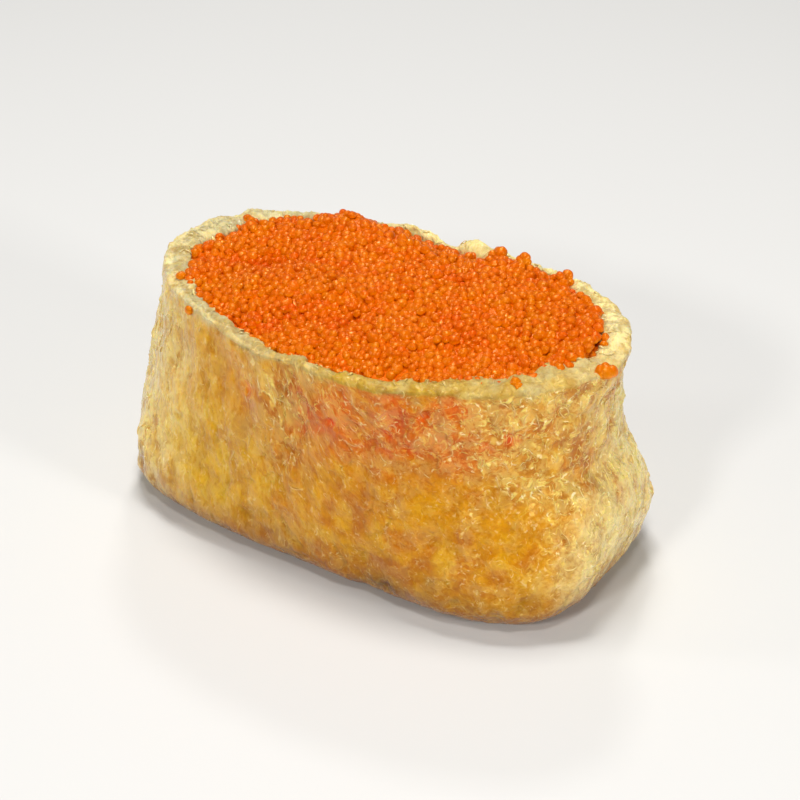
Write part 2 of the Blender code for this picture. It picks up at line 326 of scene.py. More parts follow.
# ---------------------------------------------------------------- meshes
def make_mesh(name, verts, faces, material, attributes=None, smooth=True):
    """A piece from points in mm and faces, with a value or colour on each point."""
    mesh = bpy.data.meshes.new(name)
    mesh.from_pydata((verts * MM).tolist(), [], faces)
    mesh.update()
    for key, values in (attributes or {}).items():
        if values.ndim == 2:
            layer = mesh.attributes.new(key, "FLOAT_COLOR", "POINT")
            full = np.ones((len(values), 4), np.float32)
            full[:, :3] = values
            layer.data.foreach_set("color", full.ravel())
        else:
            layer = mesh.attributes.new(key, "FLOAT", "POINT")
            layer.data.foreach_set("value", values.astype(np.float32))
    if smooth:
        mesh.shade_smooth()
    mesh.materials.append(material)
    obj = bpy.data.objects.new(name, mesh)
    bpy.context.scene.collection.objects.link(obj)
    return obj


class Nodes:
    """Short ways to make a material's nodes."""

    def __init__(self, name):
        self.material = bpy.data.materials.new(name)
        self.material.use_nodes = True
        self.tree = self.material.node_tree
        self.shader = self.tree.nodes["Principled BSDF"]

    def add(self, kind, **settings):
        node = self.tree.nodes.new(kind)
        for key, value in settings.items():
            if key in node.inputs:
                node.inputs[key].default_value = value
            else:
                setattr(node, key, value)
        return node

    def link(self, a, b):
        self.tree.links.new(a, b)

    def value(self, name, output="Fac"):
        return self.add("ShaderNodeAttribute", attribute_name=name).outputs[output]

    def colour(self, name):
        return self.value(name, "Color")

    def math(self, operation, a, b=0.0, clamp=False):
        node = self.tree.nodes.new("ShaderNodeMath")
        node.operation = operation
        node.use_clamp = clamp
        for socket, v in zip(node.inputs, (a, b)):
            if isinstance(v, (int, float)):
                socket.default_value = v
            else:
                self.link(v, socket)
        return node.outputs[0]

    def ramp(self, value, low, high, out_low=0.0, out_high=1.0):
        node = self.tree.nodes.new("ShaderNodeMapRange")
        node.interpolation_type = "SMOOTHSTEP"
        for socket, v in zip(node.inputs, (value, low, high, out_low, out_high)):
            if isinstance(v, (int, float)):
                socket.default_value = v
            else:
                self.link(v, socket)
        return node.outputs[0]

    def blend(self, factor, a, b, mode="MIX"):
        node = self.tree.nodes.new("ShaderNodeMix")
        node.data_type = "RGBA"
        node.blend_type = mode
        node.clamp_factor = True
        for socket, v in ((node.inputs[0], factor), (node.inputs[6], a), (node.inputs[7], b)):
            if isinstance(v, (int, float)):
                socket.default_value = v
            elif isinstance(v, (tuple, list, np.ndarray)):
                socket.default_value = (*[float(x) for x in v][:3], 1.0)
            else:
                self.link(v, socket)
        return node.outputs[2]

    def place(self, scale=(1000.0, 1000.0, 1000.0)):
        """The piece's own coordinates, in mm, stretched by scale."""
        where = self.add("ShaderNodeTexCoord").outputs["Object"]
        mapping = self.tree.nodes.new("ShaderNodeMapping")
        self.link(where, mapping.inputs["Vector"])
        mapping.inputs["Scale"].default_value = scale
        return mapping.outputs["Vector"]

    def noise(self, where, scale, detail=2.0, rough=0.5, output="Fac"):
        node = self.add("ShaderNodeTexNoise", Scale=scale, Detail=detail, Roughness=rough)
        self.link(where, node.inputs["Vector"])
        return node.outputs[output]

    def warped(self, where, scale, amount, detail=1.0):
        """Those coordinates pushed about by noise."""
        push = self.noise(where, scale, detail, output="Color")
        centred = self.tree.nodes.new("ShaderNodeVectorMath")
        centred.operation = "SUBTRACT"
        self.link(push, centred.inputs[0])
        centred.inputs[1].default_value = (0.5, 0.5, 0.5)
        grown = self.tree.nodes.new("ShaderNodeVectorMath")
        grown.operation = "SCALE"
        self.link(centred.outputs[0], grown.inputs[0])
        grown.inputs["Scale"].default_value = amount
        added = self.tree.nodes.new("ShaderNodeVectorMath")
        added.operation = "ADD"
        self.link(where, added.inputs[0])
        self.link(grown.outputs[0], added.inputs[1])
        return added.outputs[0]

    def threads(self, where, scale, wide, detail=1.5):
        """Thin winding lines, where noise passes through its middle value."""
        off = self.math("SUBTRACT", self.noise(where, scale, detail), 0.5)
        return self.ramp(self.math("ABSOLUTE", off), 0.0, wide, 1.0, 0.0)

    def bumped(self, height, distance, strength=1.0, under=None):
        node = self.add("ShaderNodeBump", Strength=strength, Distance=distance)
        self.link(height, node.inputs["Height"])
        if under is not None:
            self.link(under, node.inputs["Normal"])
        return node.outputs["Normal"]


# ---------------------------------------------------------------- colours
AMBER = linear(208, 140, 0)
DEEP_AMBER = linear(192, 112, 0)
YELLOW = linear(214, 166, 16)
CREAM = linear(234, 220, 160)
WEB = linear(246, 222, 120)
STRAND = linear(240, 222, 142)
BLUSH = linear(208, 88, 0)
RED = linear(224, 64, 0)
# painted shade: the brown that darkens the wall towards the bottom
SHADE_BROWN = linear(144, 84, 0)
# painted shade: the dark put into creases and into the dent low on the front
SHADE_DARK = linear(104, 60, 0)
LIP_TONE = linear(198, 193, 156)
LIP_PALE = linear(214, 206, 164)


# ---------------------------------------------------------------- the pouch's skin
AROUND = 600
PITCH_WALL = 98


def skin_grid():
    """Rows of points over the whole pouch, each with AROUND points, from the underside up the wall,
    over the lip and down the inside. Gives points, and for each row what it is and its share."""
    angle, _ = even_stations(AROUND)
    rows, kinds, shares = [], [], []

    def add(points, kind, share):
        rows.append(points)
        kinds.append(kind)
        shares.append(np.broadcast_to(share, (AROUND,)).astype(float))

    def ring(xy, z):
        return np.concatenate([xy, np.broadcast_to(z, (AROUND,))[:, None]], -1)

    edge = inset(0.0, angle, FOOT_RADIUS)
    for scale in (0.80, 0.86, 0.91, 0.95, 0.98):
        add(ring(edge * scale, 0.0), "base", 0.0)
    for degrees in np.linspace(0, 90, 20)[:-1]:
        rise = FOOT_RADIUS * (1 - math.cos(math.radians(degrees)))
        pulled = FOOT_RADIUS * (1 - math.sin(math.radians(degrees)))
        share = rise / HEIGHT
        add(ring(inset(share, angle, pulled), level(share, angle)), "foot", share)
    top = 0.972
    foot_top = FOOT_RADIUS / HEIGHT
    for share in np.linspace(foot_top, top, PITCH_WALL):
        add(ring(outline(share, angle), level(share, angle)), "wall", share)
    # the lip: over a rounded edge whose width follows the torn skin
    ragged = np.stack([np.cos(angle) * 33, np.sin(angle) * 18, angle * 0], -1)
    width = skin_thickness(1.0, angle) + LIP_SHAPE(ragged, angle)
    crest = level(1.0, angle) + 0.5 * area_on(np.degrees(angle), 150, 24) - 0.3 * area_on(np.degrees(angle), 126, 8)
    base = level(top, angle)
    outer = outline(top, angle)
    inner_side = -(inset(top, angle, 1.0) - outer)  # outward unit
    for turn in np.linspace(0, 180, 21)[1:]:
        t = math.radians(turn)
        run = (1 - math.cos(t)) / 2
        high = math.sin(t) ** 0.62
        xy = outer - inner_side * (width * run)[:, None] + (outline(1.0, angle) - outer) * high
        z = base + (crest - base) * high
        if turn > 90:
            z = z - 0.25 * (1 - math.sin(t))
        add(ring(xy, z), "lip", top + (1 - top) * high)
    for down in (0.4, 0.8, 1.3, 1.9, 2.7, 4.0, 6.0, 9.0, 14.0, 20.0, 26.0):
        share = top - down / HEIGHT
        d = (width - skin_thickness(1.0, angle)) * math.exp(-down / 2) + skin_thickness(share, angle)
        add(ring(inset(share, angle, d), level(share, angle) - 0.25), "inside", share)
    last = rows[-1][:, :2]
    for scale, z in ((0.97, FLOOR + 0.8), (0.92, FLOOR + 0.2), (0.84, FLOOR)):
        add(ring(last * scale, z), "floor", 0.0)
    return np.array(rows), kinds, np.array(shares), angle


def LIP_SHAPE(p, angle):
    """How far the torn inner edge of the lip comes in or draws back."""
    rough = 0.75 * layered(p / 3.6, SEED + 5, 3) + 0.35 * layered(p / 1.1, SEED + 6, 2)
    patch = 1.5 * bump(across(1.0, angle, -11.0), 3.2) + 1.1 * bump(across(1.0, angle, -31.0), 3.0)
    patch += 1.0 * bump(across(1.0, angle, 78.0), 3.5) + 0.8 * bump(across(1.0, angle, -158.0), 3.5)
    patch += 0.5 * bump(across(1.0, angle, 170.0), 6.0) - 0.5 * bump(across(1.0, angle, 2.0), 2.5)
    patch -= 0.5 * bump(across(1.0, angle, -60.0), 8.0)
    back = smooth_step(8, 30, np.degrees(angle)) * smooth_step(175, 150, np.degrees(angle))
    return rough + patch - 0.75 * back - 0.2


def row_normals(grid):
    """Outward directions of the grid's points."""
    du = np.roll(grid, -1, 1) - np.roll(grid, 1, 1)
    dv = np.gradient(grid, axis=0)
    n = np.cross(du, dv)
    return n / np.maximum(np.linalg.norm(n, axis=-1, keepdims=True), 1e-9)


def area_on(deg, direction, wide):
    return bump((deg - direction + 180) % 360 - 180, wide)


def skin_masks(p, deg, share):
    """Where the skin is pale (at the right tip partly painted light), blushed or amber, and how much it is darkened
    brown towards the bottom, which is painted shade. Each runs from 0 to 1.
    """
    x = p[..., 0]
    wander = layered(p / 7.0, SEED + 40, 3)
    left = smooth_step(-13.0, -33.0, x + 5 * wander)
    right = 1.35 * smooth_step(2.0, 14.0, deg + 4 * wander) * smooth_step(62.0, 34.0, deg)
    # the pale right tip is partly painted light, lightening the end that the lamps leave in shade
    right = np.maximum(right, 0.8 * smooth_step(33.0, 38.0, x + 3 * wander))
    back = smooth_step(6.0, 17.0, p[..., 1] + 6 * wander)
    pale = np.clip(left * 0.85 + right * 1.05 + 0.12 * back, 0, 1)

    def area(d, s, wide, tall):
        off = (deg - d + 180) % 360 - 180
        return bump(off, wide) * bump(share - s, tall)

    blush = area(-84, 0.76, 9, 0.12) + area(-60, 0.86, 15, 0.13) + 0.8 * area(-38, 0.86, 12, 0.11)
    blush = blush + 0.5 * area(-48, 0.72, 16, 0.07) + 0.4 * area(-112, 0.80, 6, 0.10)
    blush = blush + 0.6 * area(96, 0.8, 14, 0.12) + 0.45 * area(58, 0.78, 12, 0.08) + 0.4 * area(128, 0.76, 10, 0.1)
    blush = np.clip(blush * (0.85 + 0.9 * layered(p / 3.2, SEED + 41, 3)), 0, 1)
    # painted shade: darker and browner towards the bottom of the wall
    painted_bottom_shade = smooth_step(0.32, 0.05, share + 0.05 * wander)
    yellow = area(-132, 0.36, 16, 0.17) + 0.6 * area(-8, 0.22, 12, 0.1) + 0.5 * area(150, 0.36, 18, 0.2)
    return pale, np.clip(blush, 0, 1), painted_bottom_shade, np.clip(yellow, 0, 1)


SPOTS = (
    # hollows in the skin that show the roe: direction, share, radius in mm, how red
    (-73.5, 0.785, 0.8, 1.0),
    (-78.5, 0.74, 0.9, 0.7),
    (-66.0, 0.79, 1.2, 0.45),
    (-54.0, 0.79, 0.9, 0.7),
    (-51.5, 0.86, 1.6, 0.8),
    (-46.5, 0.74, 1.0, 0.75),
    (-38.4, 0.79, 0.9, 0.75),
    (-29.5, 0.785, 0.8, 0.6),
    (-24.0, 0.81, 1.1, 1.0),
    (-38.0, 0.94, 1.5, 0.6),
    (-43.0, 0.885, 0.8, 0.7),
    (-88.5, 0.70, 1.5, 0.5),
    (-86.0, 0.83, 1.3, 0.5),
    (-52.0, 0.955, 1.3, 0.5),
    (-112.0, 0.80, 1.0, 0.5),
    (88.0, 0.77, 1.2, 0.6),
    (101.0, 0.83, 1.0, 0.5),
    (56.0, 0.80, 1.0, 0.5),
)


class Sheet:
    """The outside of the skin laid flat: u runs around it and v up it, both in mm."""

    def __init__(self, grid, kinds):
        self.first = int(np.where(kinds == "foot")[0][5])
        self.last = int(np.where(kinds == "inside")[0][3])
        rows = grid[self.first : self.last + 1]
        step = np.linalg.norm(np.diff(rows, axis=0), axis=-1).mean(1)
        self.v = np.concatenate([[0], np.cumsum(step)])
        self.tall = float(self.v[-1])
        self.lip_row = int(np.where(kinds == "lip")[0][0]) - self.first
        self.inner_row = int(np.where(kinds == "lip")[0][-1]) - self.first
        self.long = float(even_stations(8)[1])

    def read(self, field, u, v):
        """A field of the grid at these places, between its points."""
        row = self.first + np.interp(v, self.v, np.arange(len(self.v)))
        col = (u / self.long * AROUND) % AROUND
        r0, c0 = np.floor(row).astype(int), np.floor(col).astype(int) % AROUND
        r1, c1 = np.minimum(r0 + 1, self.last), (c0 + 1) % AROUND
        fr, fc = row - np.floor(row), col - np.floor(col)
        if field.ndim == 3:
            fr, fc = fr[..., None], fc[..., None]
        low = field[r0, c0] * (1 - fc) + field[r0, c1] * fc
        high = field[r1, c0] * (1 - fc) + field[r1, c1] * fc
        return low * (1 - fr) + high * fr

    def find(self, direction, share):
        """Where a direction and share of the height lie."""
        angle, _ = even_stations(AROUND)
        turn = math.radians(direction) % (2 * math.pi)
        col = np.interp(turn, angle, np.arange(AROUND))
        rows = self.shares[:, int(col) % AROUND]
        return col / AROUND * self.long, float(np.interp(share, rows, self.v))


def web_density(p, deg, share):
    """How much of the web shows, from 0 to 1."""

    def area(d, s, wide, tall):
        off = (deg - d + 180) % 360 - 180
        return bump(off, wide) * bump(share - s, tall)

    edge = np.where(deg < 0, -10 - 18 * smooth_step(0.42, 0.66, share), 0)
    wander = 5 * noise(p / 5.0, SEED + 81) + 3 * noise(p / 2.0, SEED + 86)
    right = smooth_step(-3, 4, deg - edge + wander) * smooth_step(0, 9, 44 - deg + 2 * wander)
    left = 0.6 * smooth_step(-14.0, -26.0, p[..., 0] + 6 * noise(p / 5.0, SEED + 82))
    back = 0.22 * smooth_step(4.0, 12.0, p[..., 1])
    pleats = 0.5 * area(-97, 0.74, 12, 0.2) + 0.5 * area(-84, 0.9, 12, 0.08)
    top = 0.75 * area(-25, 0.84, 13, 0.13) + 0.30 * area(-55, 0.82, 16, 0.1)
    ridge = 0.9 * area(-14.5, 0.4, 5, 0.12) + 0.35 * area(-88, 0.2, 12, 0.06)
    some = 0.03 + 0.22 * smooth_step(0.1, 0.5, noise(p / 3.5, SEED + 83))
    total = np.maximum.reduce([right, left, back]) + pleats + top + ridge + some
    total = total * (0.15 + 0.85 * smooth_step(0.10, 0.30, share + 0.04 * wander / 5))
    return np.clip(total, 0, 1)


def strokes(start, heading, reach, bend, lift, thick, wide):
    """Lines from these starts, as u, v, lift, thickness and width at 7 places along them."""
    t = np.linspace(0, 1, 7)[None, :]
    turn = heading[:, None] + bend[:, None] * (t - 0.5)
    step = np.stack([np.cos(turn), np.sin(turn)], -1) * reach[:, None, None] / 6
    path = start[:, None] + np.cumsum(step, 1) - step[:, :1]
    body = np.sin(np.pi * np.clip(t * 0.86 + 0.07, 0, 1))
    taper = np.sqrt(body)
    rise = lift[:, None] * body
    return np.concatenate(
        [path, rise[..., None], (thick[:, None] * taper)[..., None], (wide[:, None] * taper)[..., None]],
        -1,
    )


FLAPS = (
    # direction, turn, reach and half width in mm
    (13.0, 25.0, 2.6, 0.34),
    (9.0, -10.0, 2.2, 0.42),
    (5.0, 15.0, 1.9, 0.30),
    (1.0, -20.0, 1.6, 0.36),
    (18.0, 10.0, 1.8, 0.32),
    (-172.0, 20.0, 1.7, 0.40),
    (178.0, -15.0, 1.5, 0.34),
    (-164.0, 0.0, 1.3, 0.30),
    (-71.0, 35.0, 1.5, 0.30),
    (-117.0, -20.0, 1.3, 0.26),
)


def web_lines(sheet, grid, share, rng):
    """The web: lines of u, v, lift, thickness and width on the laid-out skin."""

    def scattered(count, low, high, chance):
        u, v = rng.uniform(0, sheet.long, count), rng.uniform(low, high, count)
        p, s = sheet.read(grid, u, v), sheet.read(share, u, v)
        deg = np.degrees(np.arctan2(p[:, 1], p[:, 0]))
        keep = rng.uniform(0, 1, count) < chance(p, deg, s)
        return np.stack([u, v], -1)[keep], p[keep], deg[keep], s[keep]

    lines = []
    wall_top = sheet.v[sheet.lip_row] - 0.4
    # curled threads
    at, p, deg, s = scattered(3600, 1.5, wall_top, lambda p, d, s: 0.38 * web_density(p, d, s) ** 1.4)
    n = len(at)
    upright = smooth_step(10, -10, p[:, 0])
    heading = np.where(
        rng.uniform(0, 1, n) < 0.25 + 0.6 * upright,
        np.pi / 2 + rng.normal(0, 0.45, n),
        rng.uniform(0, 2 * np.pi, n),
    )
    lines.append(
        strokes(
            at,
            heading,
            rng.uniform(0.8, 2.2, n),
            rng.normal(0, 1.2, n) * (1.7 - upright),
            rng.uniform(-0.05, 0.12, n),
            rng.uniform(0.04, 0.075, n),
            rng.uniform(0.05, 0.11, n),
        )
    )
    # tatters along the lip's inner edge, pointing in over the roe
    count = 150
    u = rng.uniform(0, sheet.long, count)
    inner = sheet.v[sheet.lip_row] + (sheet.v[sheet.inner_row] - sheet.v[sheet.lip_row]) * rng.uniform(
        0.25, 0.95, count
    )
    lines.append(
        strokes(
            np.stack([u, inner], -1),
            np.pi / 2 + rng.normal(0, 0.7, count),
            rng.uniform(0.5, 1.5, count),
            rng.normal(0, 0.8, count),
            rng.uniform(0.0, 0.16, count),
            rng.uniform(0.05, 0.09, count),
            rng.uniform(0.06, 0.20, count),
        )
    )
    # a few wider flaps of the torn edge, most of them at the right
    places = np.array(FLAPS)
    found = np.array([sheet.find(direction, 1.0)[0] for direction in places[:, 0]])
    inner = np.full(len(places), sheet.v[sheet.inner_row] - 0.9)
    lines.append(
        strokes(
            np.stack([found, inner], -1),
            np.pi / 2 + np.radians(places[:, 1]),
            places[:, 2],
            rng.normal(0, 0.5, len(places)),
            np.full(len(places), 0.25),
            np.full(len(places), 0.13),
            places[:, 3],
        )
    )
    return np.concatenate(lines)


def web_field(sheet, lines):
    """Closeness to the web's lines over the sheet, at 0.15 mm, as a picture of it."""
    cell = 0.15
    wide, tall = int(sheet.long / cell), int(sheet.tall / cell) + 1
    field = np.zeros((tall, wide))
    t = np.linspace(0, 6, 31)
    k = np.minimum(t.astype(int), 5)
    f = (t - k)[None, :, None]
    fine = lines[:, k] * (1 - f) + lines[:, k + 1] * f
    u, v, thick = fine[..., 0].ravel(), fine[..., 1].ravel(), fine[..., 4].ravel()
    reach = 5
    for dx in range(-reach, reach + 1):
        for dy in range(-reach, reach + 1):
            x, y = np.floor(u / cell).astype(int) + dx, np.floor(v / cell).astype(int) + dy
            far = np.hypot((x + 0.5) * cell - u, (y + 0.5) * cell - v)
            amount = np.exp(-0.5 * (far / (0.08 + 0.9 * thick)) ** 2)
            inside = (y >= 0) & (y < tall)
            np.maximum.at(field, (y[inside], x[inside] % wide), amount[inside])
    return field, cell


def field_on_grid(sheet, field, cell, rows):
    """That picture read at the grid's points."""
    out = np.zeros((rows, AROUND))
    u = np.arange(AROUND) / AROUND * sheet.long / cell - 0.5
    x0 = np.floor(u).astype(int)
    fx = u - x0
    for r in range(sheet.first, sheet.last + 1):
        y = min(max(sheet.v[r - sheet.first] / cell - 0.5, 0), field.shape[0] - 1.001)
        y0 = int(y)
        fy = y - y0
        line = field[y0] * (1 - fy) + field[y0 + 1] * fy
        out[r] = line[x0 % field.shape[1]] * (1 - fx) + line[(x0 + 1) % field.shape[1]] * fx
    return out


def web_mesh(sheet, lines, grid, tone, material):
    """The web's lines as thin closed tubes, half sunk in the skin."""
    sides = 5
    normal = row_normals(grid)
    for _ in range(2):
        normal = (normal + np.roll(normal, 1, 1) + np.roll(normal, -1, 1)) / 3
    normal /= np.maximum(np.linalg.norm(normal, axis=-1, keepdims=True), 1e-9)
    u, v = lines[..., 0], np.clip(lines[..., 1], 0.02, sheet.tall - 0.02)
    at, up = sheet.read(grid, u, v), sheet.read(normal, u, v)
    up /= np.linalg.norm(up, axis=-1, keepdims=True)
    thick, wide = lines[..., 3], lines[..., 4]
    at = at + up * (lines[..., 2] + 0.10 * thick)[..., None]
    along = np.gradient(at, axis=1)
    along /= np.maximum(np.linalg.norm(along, axis=-1, keepdims=True), 1e-9)
    side = np.cross(along, up)
    side /= np.maximum(np.linalg.norm(side, axis=-1, keepdims=True), 1e-9)
    over = np.cross(side, along)
    turn = np.arange(sides) / sides * 2 * np.pi
    ring = (
        at[:, :, None]
        + side[:, :, None] * (np.cos(turn)[:, None] * wide[:, :, None, None])
        + over[:, :, None] * (np.sin(turn)[:, None] * thick[:, :, None, None])
    )
    n, m = lines.shape[:2]
    ends = np.stack([at[:, 0] - along[:, 0] * thick[:, :1], at[:, -1] + along[:, -1] * thick[:, -1:]], 1)
    verts = np.concatenate([ring.reshape(n, m * sides, 3), ends], 1)
    faces = []
    for k in range(m - 1):
        for q in range(sides):
            w = (q + 1) % sides
            faces.append((k * sides + q, (k + 1) * sides + q, (k + 1) * sides + w, k * sides + w))
    cap, tip = m * sides, m * sides + 1
    small = [(cap, q, (q + 1) % sides) for q in range(sides)]
    small += [(tip, (m - 1) * sides + (q + 1) % sides, (m - 1) * sides + q) for q in range(sides)]
    per = verts.shape[1]
    every = []
    for first in range(0, n * per, per):
        every += [tuple(first + i for i in f) for f in faces]
        every += [tuple(first + i for i in f) for f in small]
    under = sheet.read(tone, u, v)
    bright = np.clip(0.25 + 2.2 * lines[..., 2] + 0.25 * noise(at / 1.6, SEED + 95), 0, 0.85)
    hue = mix(under, np.broadcast_to(STRAND, under.shape), bright)
    hue = np.concatenate([np.repeat(hue, sides, 1), hue[:, :1], hue[:, -1:]], 1).reshape(-1, 3)
    flat = verts.reshape(-1, 3)
    flat[:, 2] = np.maximum(flat[:, 2], 0.02)
    print("strands", n, "triangles", n * (2 * sides * (m - 1) + 2 * sides))
    attributes = {"tone": hue, "web": np.zeros(len(hue)), "wet": np.ones(len(hue))}
    return make_mesh("pouch_strands", flat + SHIFT, every, material, attributes)


def build_skin():
    grid, kinds, share, angle = skin_grid()
    kinds = np.array(kinds)
    sheet = Sheet(grid, kinds)
    sheet.shares = share[sheet.first : sheet.last + 1]
    lines = web_lines(sheet, grid, share, np.random.default_rng(SEED + 90))
    webbed = field_on_grid(sheet, *web_field(sheet, lines), len(kinds))
    deg = np.broadcast_to((np.degrees(angle) + 180) % 360 - 180, share.shape)
    normal = row_normals(grid)
    p = grid.copy()
    pale, blush, painted_bottom_shade, yellow = skin_masks(p, deg, share)

    outer = (kinds == "wall") | (kinds == "foot")
    weight = {"base": 0.0, "foot": 1.0, "wall": 1.0, "lip": 1.0, "inside": 0.5, "floor": 0.0}
    amount = np.array([weight[k] for k in kinds])[:, None] * np.ones_like(share)
    foot_rows = np.where(kinds == "foot")[0]
    amount[foot_rows] *= np.linspace(0.15, 1.0, len(foot_rows))[:, None]
    inside_rows = np.where(kinds == "inside")[0]
    amount[inside_rows] *= np.linspace(1.0, 0.0, len(inside_rows))[:, None]

    # soft crumpling, with a few sharper creases
    crumple = 0.50 * layered(p / 6.5, SEED + 1, 3) + 0.30 * layered(p * (1, 1, 0.6) / 2.4, SEED + 2, 2)
    upright = p * (1.0, 1.0, 0.35)
    creases = ridged(upright / 4.2 + 0.35 * drift(p / 4.0, SEED + 3), SEED + 4, 2)
    crease_depth = 0.30 * smooth_step(0.72, 0.97, creases)

    # the sponge: cells drawn out upwards on the left, curlier on the right
    stretch = mix(np.array([1.0, 1.0, 1.0]), np.array([1.0, 1.0, 0.6]), smooth_step(14, -8, p[..., 0]))
    bent = p * stretch + 0.9 * drift(p / 1.9, SEED + 8) + 0.45 * drift(p / 0.8, SEED + 9)
    wall_a = smooth_step(0.50, 0.92, ridged(bent / 2.6, SEED + 10, 2))
    level_a = np.clip(1.8 * layered(bent / 2.0, SEED + 11, 2), -1, 1)
    bent_b = p * stretch + 0.5 * drift(p / 1.0, SEED + 12)
    wall_b = smooth_step(0.55, 0.95, ridged(bent_b / 1.5, SEED + 13, 2))
    level_b = np.clip(1.8 * layered(bent_b / 1.1, SEED + 14, 2), -1, 1)
    patchy = smooth_step(-0.35, 0.30, layered(p / 4.0, SEED + 15, 3))
    sponge = web_density(p, deg, share) * (0.5 + 0.5 * patchy)

    def area(d, at, wide, tall):
        return area_on(deg, d, wide) * bump(share - at, tall)

    trim = -0.40 * area(13, 0.44, 14, 0.12) - 0.55 * area(6, 0.12, 17, 0.09)
    trim = trim - 0.42 * area(-168, 0.78, 14, 0.30) - 0.75 * area(-163, 0.16, 13, 0.09)
    trim = trim + 0.30 * area(13, 0.30, 14, 0.10) + 0.5 * area(22, 0.97, 9, 0.06)
    trim = trim + 0.40 * area(-74, 0.05, 10, 0.09) + 0.35 * area(-40, 0.05, 13, 0.09)
    trim = trim + 0.30 * area(-115, 0.05, 16, 0.09)
    height = crumple - crease_depth + trim
    height = height + sponge * (0.20 * wall_a - 0.10 + 0.15 * level_a * (1 - wall_a))
    height = height + (0.20 + 0.80 * sponge) * (0.08 * wall_b + 0.07 * level_b * (1 - wall_b))
    height = height + 0.05 * layered(p / 0.75, SEED + 17, 2) + 0.12 * webbed

    red = np.zeros_like(height)
    for direction, at, radius, how in SPOTS:
        away = np.hypot(
            np.radians((deg - direction + 180) % 360 - 180) * section_radius(0.7, np.radians(direction)),
            (share - at) * HEIGHT,
        )
        away = away * (1 + 0.55 * layered(p / 1.2, SEED + 19, 2))
        hole = smooth_step(radius * 1.35, radius * 0.35, away) * outer[:, None]
        rim = bump(away - radius * 1.25, 0.32) * outer[:, None]
        height = height - 0.24 * hole + 0.10 * rim
        red = np.maximum(red, hole * how)
        wall_b = np.maximum(wall_b, rim * 0.9)

    grid = grid + normal * (height * amount)[..., None]
    grid[..., 2] = np.maximum(grid[..., 2], 0.0)
    # the lip's own tatters
    lip = (kinds == "lip")[:, None]
    tatter = np.clip(layered(p / (1.5, 1.5, 1.5), SEED + 20, 3), -1, 1)
    fringe = np.clip(ridged(p / 0.9, SEED + 26, 1) - 0.6, 0, 1)
    grid[..., 2] += np.where(lip, 0.30 * tatter + 0.5 * fringe, 0)

    # colour
    mottle = layered(p * stretch / 2.4, SEED + 21, 3)
    speck_and_glint = layered(p / 0.8, SEED + 22, 2)
    broad = layered(p / 5.5, SEED + 24, 2)
    left = smooth_step(2.0, -20.0, p[..., 0] + 8 * broad)
    tone = mix(AMBER, DEEP_AMBER, smooth_step(0.15, -0.45, mottle + 0.6 * broad) * (1 - 0.5 * left))
    tone = mix(tone, YELLOW, 0.45 * left)
    tone = mix(tone, YELLOW, np.clip(0.75 * yellow + 0.35 * smooth_step(-0.05, 0.6, mottle - 0.4 * broad), 0, 1))
    tone = mix(tone, CREAM, np.clip(pale * (0.68 + 0.5 * mottle + 0.25 * level_a) + 0.10 * sponge, 0, 1))
    tone = mix(tone, BLUSH, blush * 0.92)
    pool = np.clip(-level_a, 0, 1) * (1 - wall_a) * sponge
    tone = mix(tone, DEEP_AMBER, 0.55 * pool * (1 - 0.5 * pale) * (1 - blush))
    flake = np.clip(0.6 * wall_a + 0.7 * np.clip(level_a, 0, 1) + 0.35 * wall_b + 0.3 * level_b, 0, 1)
    tone = mix(tone, WEB, np.clip(flake * (0.12 * sponge + 0.30 * sponge * pale), 0, 1))
    tone = mix(tone, STRAND, 0.45 * webbed * (0.4 + 0.6 * sponge))
    tone = mix(tone, RED, 0.8 * red)
    # painted shade: the wall darkened to brown towards the bottom
    tone = mix(tone, SHADE_BROWN, painted_bottom_shade * (0.80 + 0.2 * mottle))
    # painted shade: creases darkened, more so towards the bottom
    tone = mix(tone, SHADE_DARK, np.clip(crease_depth / 0.30, 0, 1) * 0.25 * (0.4 + painted_bottom_shade))
    # painted shade: a dark spot in the dent low on the front wall
    painted_dent_shade = bump(((deg + 54 + 180) % 360 - 180) * 0.33, 1.2) * bump((share - 0.115) * HEIGHT, 0.7)
    tone = mix(tone, SHADE_DARK, np.clip(painted_dent_shade * 0.9, 0, 1))
    # the right end paler: partly the skin's own cream, partly painted light on the side left in shade
    pale_and_lit_end = smooth_step(32.5, 36.8, p[..., 0] + 3.0 * mottle) * (1 - 0.7 * painted_bottom_shade)
    tone = mix(tone, CREAM, 0.45 * pale_and_lit_end)
    near_lip = smooth_step(0.95, 0.995, share + 0.035 * mottle + 0.02 * speck_and_glint) * (outer[:, None] | lip)
    on_lip = np.where(lip, 1.0, near_lip * 0.65)
    on_lip = np.where((kinds == "inside")[:, None], 0.8, on_lip)
    facing = area_on(deg, -54, 52)
    lip_tone = mix(LIP_TONE, YELLOW, np.clip(0.06 + 0.74 * facing - 0.45 * mottle - 0.2 * speck_and_glint, 0, 0.9))
    lip_tone = lip_tone * (0.76 - 0.14 * facing)[..., None]
    # painted light: the wall's top rows and the lip's outer roll lightened against the shade under the overhang,
    # less at the front
    roll = outer.astype(float)
    roll[np.where(lip[:, 0])[0][:7]] = 1.0
    lip_tone = lip_tone * (1 + 0.3 * roll[:, None] * (1 - 0.9 * area_on(deg, -40, 34)))[..., None]
    lip_tone = mix(lip_tone, LIP_PALE, 0.35 * area_on(deg, 12, 18))
